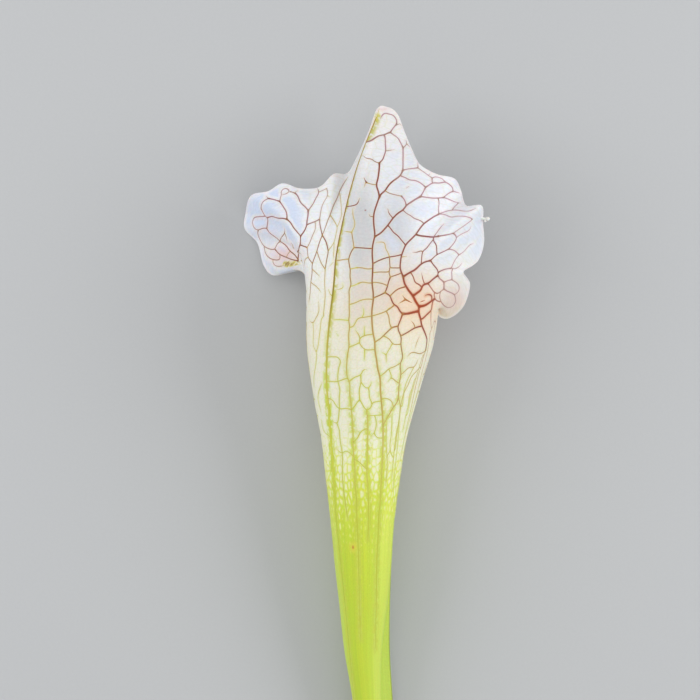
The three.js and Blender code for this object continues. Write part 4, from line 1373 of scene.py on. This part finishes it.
# %% Pale windows in the green net
PALE_UP = [
    (0, "a9b854"), (120, "c9dc6c"), (190, "e2ee6e"), (204, "edf384"), (220, "f3f5bc"), (240, "f1f1d6"),
    (262, "f0edda"), (290, "eeead8"), (312, "efefec"), (335, "f2f4f8"), (375, "f3f1f1"),
]
CELLS = {"feature": "DISTANCE_TO_EDGE", "voronoi_dimensions": "2D"}
WINDOW_WIDE, WINDOW_LONG = 3.4, 3.6  # millimetres, on a tube of RADIUS
# Width of the walls in cells: by height, and how much wider they are beside a main vein lower down
WALL_WIDTH = ("rough_height", 246, 181, -0.14, 0.5)
WIDER_BY_MAIN = ("near_main", 0.2, 1.5, 0.34, 0)
MAIN_DOWN = ("rough_height", 262, 215, 0, 1)
EDGE_BELOW, EDGE_ABOVE = 0.1, 0.27  # softness of the windows' edges, in cells


def windows(tree, at):
    """Green where the distance to the edge of a cell is below the walls' width, and pale above it."""
    cells = add_node(tree, VECTOR, TIMES, at["map"], (1 / WINDOW_WIDE, 1 / WINDOW_LONG, 0))
    gap = add_node(tree, "ShaderNodeTexVoronoi", CELLS, cells, Scale=1.0, Randomness=0.8)
    width = share_of(tree, at, WALL_WIDTH, {})
    wider, lower_down = share_of(tree, at, WIDER_BY_MAIN), share_of(tree, at, MAIN_DOWN)
    width = add_node(tree, MATH, {"operation": "MULTIPLY_ADD"}, wider, lower_down, width)
    upper = add_node(tree, MATH, PLUS, width, EDGE_ABOVE)
    lower = add_node(tree, MATH, PLUS, width, -EDGE_BELOW)
    net = add_node(tree, RANGE, SOFT, gap, lower, upper, 1.0, 0.0)
    pale = up_the_leaf(tree, at["rough_height"], PALE_UP)
    return layer(tree, pale, tube_green(tree, at["height"], at["turn"]), net)


print("windows, mm:", WINDOW_WIDE, "by", WINDOW_LONG, " shut below", WALL_WIDTH[2])

# %% [markdown]
# The white of the hood isn't one white. It has a painted grey shade up the middle, where the blade is folded
# and faces away from the light, and it is tan towards the mouth. On the lobes a painted bluish shade lies
# between the veins, and a painted lavender shade lies on the left part of the left lobe.

# %% Tints and painted shade of the hood
BETWEEN_VEINS = ("near", 0.6, 2.6, 0.15, 1)
PATCHY = ("cloud", 0.36, 0.62, 0.4, 1)
# A layer is a tint and its shares. Distances and heights in a share are millimetres.
HOOD_TINT_AND_SHADE_LAYERS = [
    # Painted grey shade up the middle of the hood
    ("cdced0", "dusk"),
    ("d8c4b2", "tan"),
    # Painted lavender shade on the left lobe
    ("b497bf", "mauve"),
    # Painted bluish shade between the veins of the lobes
    ("d5e0f5", ("height", 292, 325, 0, 1), BETWEEN_VEINS, PATCHY, "cool"),
]
print("tints of the hood:", len(HOOD_TINT_AND_SHADE_LAYERS))

# %% [markdown]
# Pigment bleeds from the veins into the tissue beside them: pink beside crimson, straw beside brown. Lower
# down the tissue beside the main veins turns green first. Along the midrib lie a cream strip on its left and
# a ragged yellow-green bloom on its right, and where the tube begins a green band on both sides.

# %% Tissue beside veins and midrib
# By share of olive: the core of a vein, and the halo that it leaves in the tissue beside it
VEIN_COLOURS = [
    (0, "965364"), (0.12, "87452f"), (0.3, "8a4a28"), (0.5, "bb984e"), (0.7, "c2a852"), (0.85, "cbbd64"),
    (1, "cbc656"),
]
HALO_COLOURS = [(0, "ecdadf"), (0.3, "e6d8d0"), (0.5, "e4dcc2"), (0.8, "dedd9c"), (1, "d6dd84")]
BAND_BELOW, BAND_ABOVE = ("rough_height", 306, 250, 0, 1), ("height", 200, 230, 0, 1)
BORDER_LAYERS = [
    ("halo", ("near", 0.1, 1.2, 0.5, 0)),
    ("ccd64e", ("near_main", 0.2, 2.8, 1, 0), ("rough_height", 300, 238, 0, 1), "ragged"),  # green glow
    ("f5e8d6", ("rib_side", -2.6, -0.8, 0, 0.8), "left", ("height", 275, 310, 0, 1)),  # cream
    ("c4c05a", ("rib_side", 3.2, 0.7, 0, 1), "right", "ragged", ("height", 262, 300, 0, 1)),  # bloom
    ("c8d648", ("rib_gap", 2.9, 0.8, 0, 1), BAND_BELOW, BAND_ABOVE, "ragged"),  # band
]
print("colours of veins:", len(VEIN_COLOURS), " of halos:", len(HALO_COLOURS))

# %% [markdown]
# Age and weather leave their marks. The right corner of the mouth is warm with rust, the tip and the left
# lobe have a yellow stain, and the margins blush. Along the free rim a pale band is a painted highlight. The
# green tube is streaked lengthwise, with one healed bite low down, red in a yellow ring, and there is one
# red dot on the hood.

# %% Stains, streaks, marks and the painted rim highlight
SCORCH_TINT = "dd9a66"
STAIN_COLOURS = [(0, "e9e4b4"), (0.3, "dfd878"), (0.55, "cfc14e"), (0.85, "a88a38"), (1, "9a7a34")]
BLOTCHY = ("blotches", 0.36, 0.6, 0.45, 1.05)
STREAKY = ("streaks", 0.35, 0.65, 0, 1)
AGE_AND_RIM_HIGHLIGHT_LAYERS = [
    ("f1ceac", "rust", 0.72),
    (SCORCH_TINT, ("near_main", 0.2, 1.5, 0.7, 0), "rust"),  # scorched beside main veins
    ("e3b3b6", "blush", 0.5),
    ("stain_colour", ("stain", 0.08, 0.6, 0, 0.9)),
    # Painted highlight along the free rim
    ("f3eeee", ("margin_gap", 0.4, 2, 0.6, 0)),  # pale rim
    ("aec23e", "streaky", ("height", 240, 200, 0, 0.28)),  # streaks of the tube
]
BITE_PX, DOT_PX = (353, 547.2), (365.3, 210.7)
mark_lines, mark_rings = locate(photo_mm((BITE_PX, DOT_PX)))
BITE_PLACE, DOT_PLACE = on_grid(leaf_map, mark_lines, mark_rings).tolist()
# Place on the map, half width and half height in millimetres, tint
MARKS = [
    (BITE_PLACE, (4.6, 2.8), "dcd84c"),
    (BITE_PLACE, (1.15, 0.9), "cb8636"),
    (DOT_PLACE, (0.35, 0.4), "a8605c"),
]
MARK_EDGE = ("reach", 1.3, 0.3, 0, 0.85)  # a mark fades about its edge, which is at 1


def marks(tree, at, colour):
    """Round spots: the distance on the map to each middle, over the spot's size."""
    for place, size, tint in MARKS:
        away = add_node(tree, VECTOR, {"operation": "SUBTRACT"}, at["map"], (*place, 0))
        scaled = add_node(tree, VECTOR, OVER, away, (*size, 1))
        reach = add_node(tree, VECTOR, {"operation": "LENGTH"}, scaled).outputs["Value"]
        colour = layer(tree, colour, tint, share_of(tree, {"reach": reach}, MARK_EDGE))
    return colour


print("layers of age:", len(AGE_AND_RIM_HIGHLIGHT_LAYERS), " marks:", len(MARKS))

# %% [markdown]
# The blade is living leaf with a thin coat of its own wax. That gives the eye a satin sheen, a soft mottle,
# and a little light that spreads inside. Its roughness of about a half is that of most smooth leaves, and
# the pores are a bump a tenth of a millimetre high, drawn coarser than they are so that they show.

# %% Tissue of the blade
MOTTLE = ("grain", 0.3, 0.7, 0.94, 1.03)  # how light the tissue is, by the grain


def tissue_material():
    """Living leaf under wax: the layers in order, then a fine mottle in value and pores in the sheen."""
    material, tree = fresh_tree("leaf_tissue")
    at = read_skin(tree)
    at["halo"] = stops(add_node(tree, RAMP, {}, at["olive"]), HALO_COLOURS, 0, 1)
    at["stain"] = add_node(tree, MATH, TIMES, at["stain"], share_of(tree, at, BLOTCHY))
    at["stain_colour"] = stops(add_node(tree, RAMP, {}, at["stain"]), STAIN_COLOURS, 0, 1)
    at["streaky"] = share_of(tree, at, STREAKY, {})
    colour = paint(tree, at, windows(tree, at), HOOD_TINT_AND_SHADE_LAYERS + BORDER_LAYERS + AGE_AND_RIM_HIGHLIGHT_LAYERS)
    colour = marks(tree, at, colour)
    value = share_of(tree, at, MOTTLE, {})
    colour = add_node(tree, "ShaderNodeHueSaturation", {}, Value=value, Color=colour)
    relief = add_node(tree, "ShaderNodeBump", {}, Strength=0.25, Distance=0.0001, Height=at["pores"])
    waxy(
        tree, colour, Roughness=0.48, Normal=relief, Specular_IOR_Level=0.35, Subsurface_Weight=0.12,
        Subsurface_Scale=0.0012,
    )
    return material


blade_material = tissue_material()
print("nodes in the tissue:", len(blade_material.node_tree.nodes))

# %% [markdown]
# Veins are the same waxy tissue with more pigment. A rib's core is crimson, brown, gold or olive by its
# share of olive, and its edges take the halo's colour, so that it seems to lie in the leaf and not on it.
# The midrib runs from gold-brown at the tip to yellow-green where it sinks into the tube.

# %% Veins and midrib
MIDRIB_COLOURS = [
    (0, "a9b648"), (150, "bccb48"), (200, "bccb48"), (225, "ccd24e"), (250, "d3d45a"), (285, "c0b250"),
    (303, "938426"), (318, "876a28"), (335, "855c2a"), (352, "8c5f36"), (378, "a67a40"),
]
# Warmer by the share of rust, and green where the vein sinks into the tube
SINKING = ("height", 238, 204, 0, 1)
VEIN_CORE = [("a23c08", "rust", 0.95), ("bcc440", SINKING, 0.85)]
VEIN_EDGE = [(SCORCH_TINT, "rust", 0.75), ("green", SINKING)]
MIDRIB_EDGE = [("bfb154", ("height", 225, 300, 0, 1))]


def vein_paint(tree, at):
    """Core and edge by the share of olive, under their layers."""
    core = stops(add_node(tree, RAMP, {}, at["olive"]), VEIN_COLOURS, 0, 1)
    edge = stops(add_node(tree, RAMP, {}, at["olive"]), HALO_COLOURS, 0, 1)
    return paint(tree, at, core, VEIN_CORE), paint(tree, at, edge, VEIN_EDGE)


def midrib_paint(tree, at):
    """Core by the height, and an edge that is green on the tube and yellow on the hood."""
    return up_the_leaf(tree, at["height"], MIDRIB_COLOURS), paint(tree, at, at["green"], MIDRIB_EDGE)


def rib_material(name, roughness, core_and_edge):
    """Waxy vein: a core over an edge, mixed by the rib's own share of core."""
    material, tree = fresh_tree(name)
    at = read_values(tree, ("core", "olive", "rust", "height", "turn"))
    at["green"] = tube_green(tree, at["height"], at["turn"])
    core, edge = core_and_edge(tree, at)
    colour = layer(tree, edge, core, at["core"])
    waxy(
        tree, colour, Roughness=roughness, Specular_IOR_Level=0.25, Subsurface_Weight=0.1,
        Subsurface_Scale=0.0008,
    )
    return material


vein_tissue = rib_material("vein_tissue", 0.45, vein_paint)
midrib_tissue = rib_material("midrib_tissue", 0.42, midrib_paint)
print("nodes in vein and midrib:", len(vein_tissue.node_tree.nodes), len(midrib_tissue.node_tree.nodes))

# %% [markdown]
# ## The blade
#
# The outer skin runs up to the margin, turns over it by a row of stitching faces and comes down inside as
# the coarser inner wall, which ends in a cone. The cut end is closed by three rings and a centre.

# %% Blade
END_SHARES = (0.94, 0.6, 0.25)  # size of the rings that close the cut end
FLOOR_RING = int(np.searchsorted(ring_heights, CAVITY_FLOOR + FLOOR_CONE))
inner_rings = np.arange(RINGS - 1, FLOOR_RING - 1, -2)
inner_skin = (plain - WALL * plain_out)[inner_rings][:, ::2]
cavity_tip = on_tube(np.array([0.0]), CAVITY_FLOOR, -tube_at(CAVITY_FLOOR)[1])
end_centre = END_AXIS[None]
end_rings = np.array([end_centre + (skin[0] - end_centre) * share for share in END_SHARES])

parts = [skin, end_rings, inner_skin, cavity_tip, end_centre]
counts = np.cumsum([0] + [part.reshape(-1, 3).shape[0] for part in parts])
points = np.concatenate([part.reshape(-1, 3) for part in parts])
outer_index = counts[0] + np.arange(RINGS * LINES).reshape(RINGS, LINES)
end_index = counts[1] + np.arange(len(END_SHARES) * LINES).reshape(-1, LINES)
inner_index = counts[2] + np.arange(len(inner_rings) * LINES // 2).reshape(-1, LINES // 2)
margin_quads, margin_triangles = stitch_faces(outer_index[-1], inner_index[0])


def fan(ring, centre):
    """Triangles from one ring to a single vertex, turned the same way as the grid's faces."""
    return np.stack([ring, np.roll(ring, -1), np.full(len(ring), centre)], -1)


def spread_over(field):
    """A value for every vertex of the blade from the values of the outer skin's grid."""
    grid = field.reshape(RINGS, LINES, -1)
    floor, cut = grid[FLOOR_RING, :1], grid[0, :1]
    parts = [grid, np.tile(grid[:1], (len(END_SHARES), 1, 1)), grid[inner_rings][:, ::2], floor, cut]
    return np.concatenate([part.reshape(-1, grid.shape[-1]) for part in parts])


quads = np.concatenate([
    grid_faces(outer_index), margin_quads, grid_faces(inner_index),
    grid_faces(np.concatenate([end_index[::-1], outer_index[:1]])),
])
triangles = np.concatenate([
    margin_triangles, fan(inner_index[-1], counts[3]), fan(end_index[-1], counts[4])[:, ::-1],
])
blade_values = {key: spread_over(field).ravel() for key, field in values.items()}
leaf_blade = add_mesh(
    "leaf_blade", points, [quads, triangles], blade_material, blade_values, spread_over(leaf_map),
)
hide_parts("pitcher")
print("blade triangles:", 2 * len(quads) + len(triangles))

# %% [markdown]
# The ribs make three pieces: the veins traced from the picture, the net on the hidden side, and the midrib.
# Each is one object, because hundreds of small objects would be slow to work with.

# %% Vein pieces
traced_ribs = [make_rib(path) for path in paths if path["rank"] < MIDRIB_RANK]
add_ribs("veins_traced", traced_ribs, vein_tissue)
add_ribs("veins_net", [make_rib(path) for path in net_paths], vein_tissue)
add_ribs("midrib", [make_rib(midrib_path)], midrib_tissue)

# %% [markdown]
# A wisp of dried tissue hangs at the right margin. It is a small tube whose radius swells and shrinks along
# it.

# %% Dry wisp at the margin
WISP_PX = [(480.5, 218.4), (482.5, 218.6), (484.5, 218.9), (486.5, 218.8), (489.6, 219.6)]
WISP_RADII = [0.5, 0.55, 0.5, 0.45, 0.75, 0.95, 0.7]  # millimetres
DROP_PX = [(485, 219.2), (485, 221), (485.2, 222.6)]
DROP_RADII = [0.4, 0.32, 0.5, 0.3]
WISP_STEP, WISP_SIDES = 0.12, 14  # millimetres between rings, and points in each
BLUNTNESS, TIP_RADIUS = 10, 0.02  # the higher the power, the blunter the ends


def wisp(pixels, radii, level):
    """Closed rings round a smooth path at one height above the surface. Their radius is read along it, and
    falls at its far end by the square root of one less a power of the share of the way."""
    flat = smooth_line(photo_mm(pixels), WISP_STEP)
    path = np.column_stack([flat, np.full(len(flat), level)])
    share = np.linspace(0, 1, len(path))
    radius = np.interp(share, np.linspace(0, 1, len(radii)), radii) * np.sqrt(1 - share**BLUNTNESS)
    radius = radius + TIP_RADIUS
    angle = np.linspace(0, 2 * np.pi, WISP_SIDES, endpoint=False)
    along = unit(np.gradient(path, axis=0))
    across = np.stack([along[:, 1], -along[:, 0], np.zeros(len(path))], -1)
    ring = np.cos(angle)[:, None] * across[:, None] + np.sin(angle)[:, None] * np.array([0.0, 0.0, 1.0])
    return path[:, None] + radius[:, None, None] * ring


margin = skin[-1]
beside_wisp = np.linalg.norm(margin[:, :2] - photo_mm(WISP_PX[1]), axis=1).argmin()
level = margin[beside_wisp, 2]
same_everywhere = {**FARTHEST, "margin_gap": 1, "cool": 0}
wisp_ribs = [
    {
        "points": part,
        **colour_fields(part),
        **{key: np.full(part.shape[:2], float(value)) for key, value in same_everywhere.items()},
    }
    for part in (wisp(WISP_PX, WISP_RADII, level), wisp(DROP_PX, DROP_RADII, level))
]
add_ribs("wisp", wisp_ribs, blade_material)

# %% [markdown]
# ## The stage
#
# The leaf lies on a sheet of pale paper. The camera looks straight down on it from far away, because the
# picture shows hardly any perspective, and its lens makes one pixel 0.42 mm wide at the height of the leaf.

# %% Floor and camera
PICTURE_SIDE_PX = 700.0
picture_middle = photo_mm((PICTURE_SIDE_PX / 2, PICTURE_SIDE_PX / 2))
aim_x, aim_y, _ = placed(np.append(picture_middle, 0))
PHOTO_WIDTH = PICTURE_SIDE_PX * PIXEL / 1000  # metres
CAMERA_HEIGHT, SENSOR = 8.0, 36.0
LEAF_LEVEL = 0.03  # metres; the height at which the leaf has the picture's scale
FLOOR_SIDE = 6  # metres
FIBRE_SCALE = 900.0  # per metre: fibres of about a millimetre
PAPER_TINTS = ("bcbec0", "c0c2c4")

bpy.ops.mesh.primitive_plane_add(size=FLOOR_SIDE)
floor = bpy.context.object
floor.name = "floor"
floor_material, floor_tree = fresh_tree("floor_paper")
floor_place = add_node(floor_tree, "ShaderNodeTexCoord", {}).outputs["Object"]
fibres = add_node(floor_tree, NOISE, {}, floor_place, Scale=FIBRE_SCALE, Detail=3.0)
paper = add_node(floor_tree, MIX, COLOUR, fibres, *[linear(tint) for tint in PAPER_TINTS])
paper_shader = add_node(floor_tree, "ShaderNodeBsdfPrincipled", {}, Base_Color=paper, Roughness=0.9)
add_node(floor_tree, "ShaderNodeOutputMaterial", {}, Surface=paper_shader)
floor.data.materials.append(floor_material)

camera_data = bpy.data.cameras.new("camera")
camera_data.sensor_width = SENSOR
camera_data.lens = SENSOR * (CAMERA_HEIGHT - LEAF_LEVEL) / PHOTO_WIDTH
camera_data.clip_end = 100
camera = bpy.data.objects.new("camera", camera_data)
bpy.context.scene.collection.objects.link(camera)
camera.location = (aim_x, aim_y, CAMERA_HEIGHT)
bpy.context.scene.camera = camera
print("lens, mm:", round(camera_data.lens, 1), " height, m:", CAMERA_HEIGHT)

# %% [markdown]
# Soft light from low on both sides shows the waves of the margin and keeps the colours of the leaf, as an
# overcast sky would. The world gives more than half of it. A dim lamp beyond the tip separates the hood
# from its shadow.

# %% Light
WORLD_STRENGTH = 0.6
# Name, place and side in metres, power in watts
LAMPS = [
    ("key", (0.95, 0.15, 0.58), 0.6, 5.4),
    ("fill", (-0.95, 0.25, 0.6), 0.8, 4.9),
    ("top", (-0.15, 0.6, 1.1), 0.9, 1.2),
]

world = bpy.data.worlds.new("studio")
world.use_nodes = True
bpy.context.scene.world = world
background = world.node_tree.nodes["Background"]
background.inputs["Color"].default_value = (1, 1, 1, 1)
background.inputs["Strength"].default_value = WORLD_STRENGTH


def area_light(name, place, size, power):
    """A square lamp that looks at the middle of the leaf."""
    data = bpy.data.lights.new(name, "AREA")
    data.size = size
    data.energy = power
    lamp = bpy.data.objects.new(name, data)
    lamp.location = place
    lamp.rotation_euler = (-lamp.location).to_track_quat("-Z", "Y").to_euler()
    bpy.context.scene.collection.objects.link(lamp)


for lamp_values in LAMPS:
    area_light(*lamp_values)

bpy.context.scene.view_settings.view_transform = "Standard"
print("lamps:", len(bpy.data.lights))
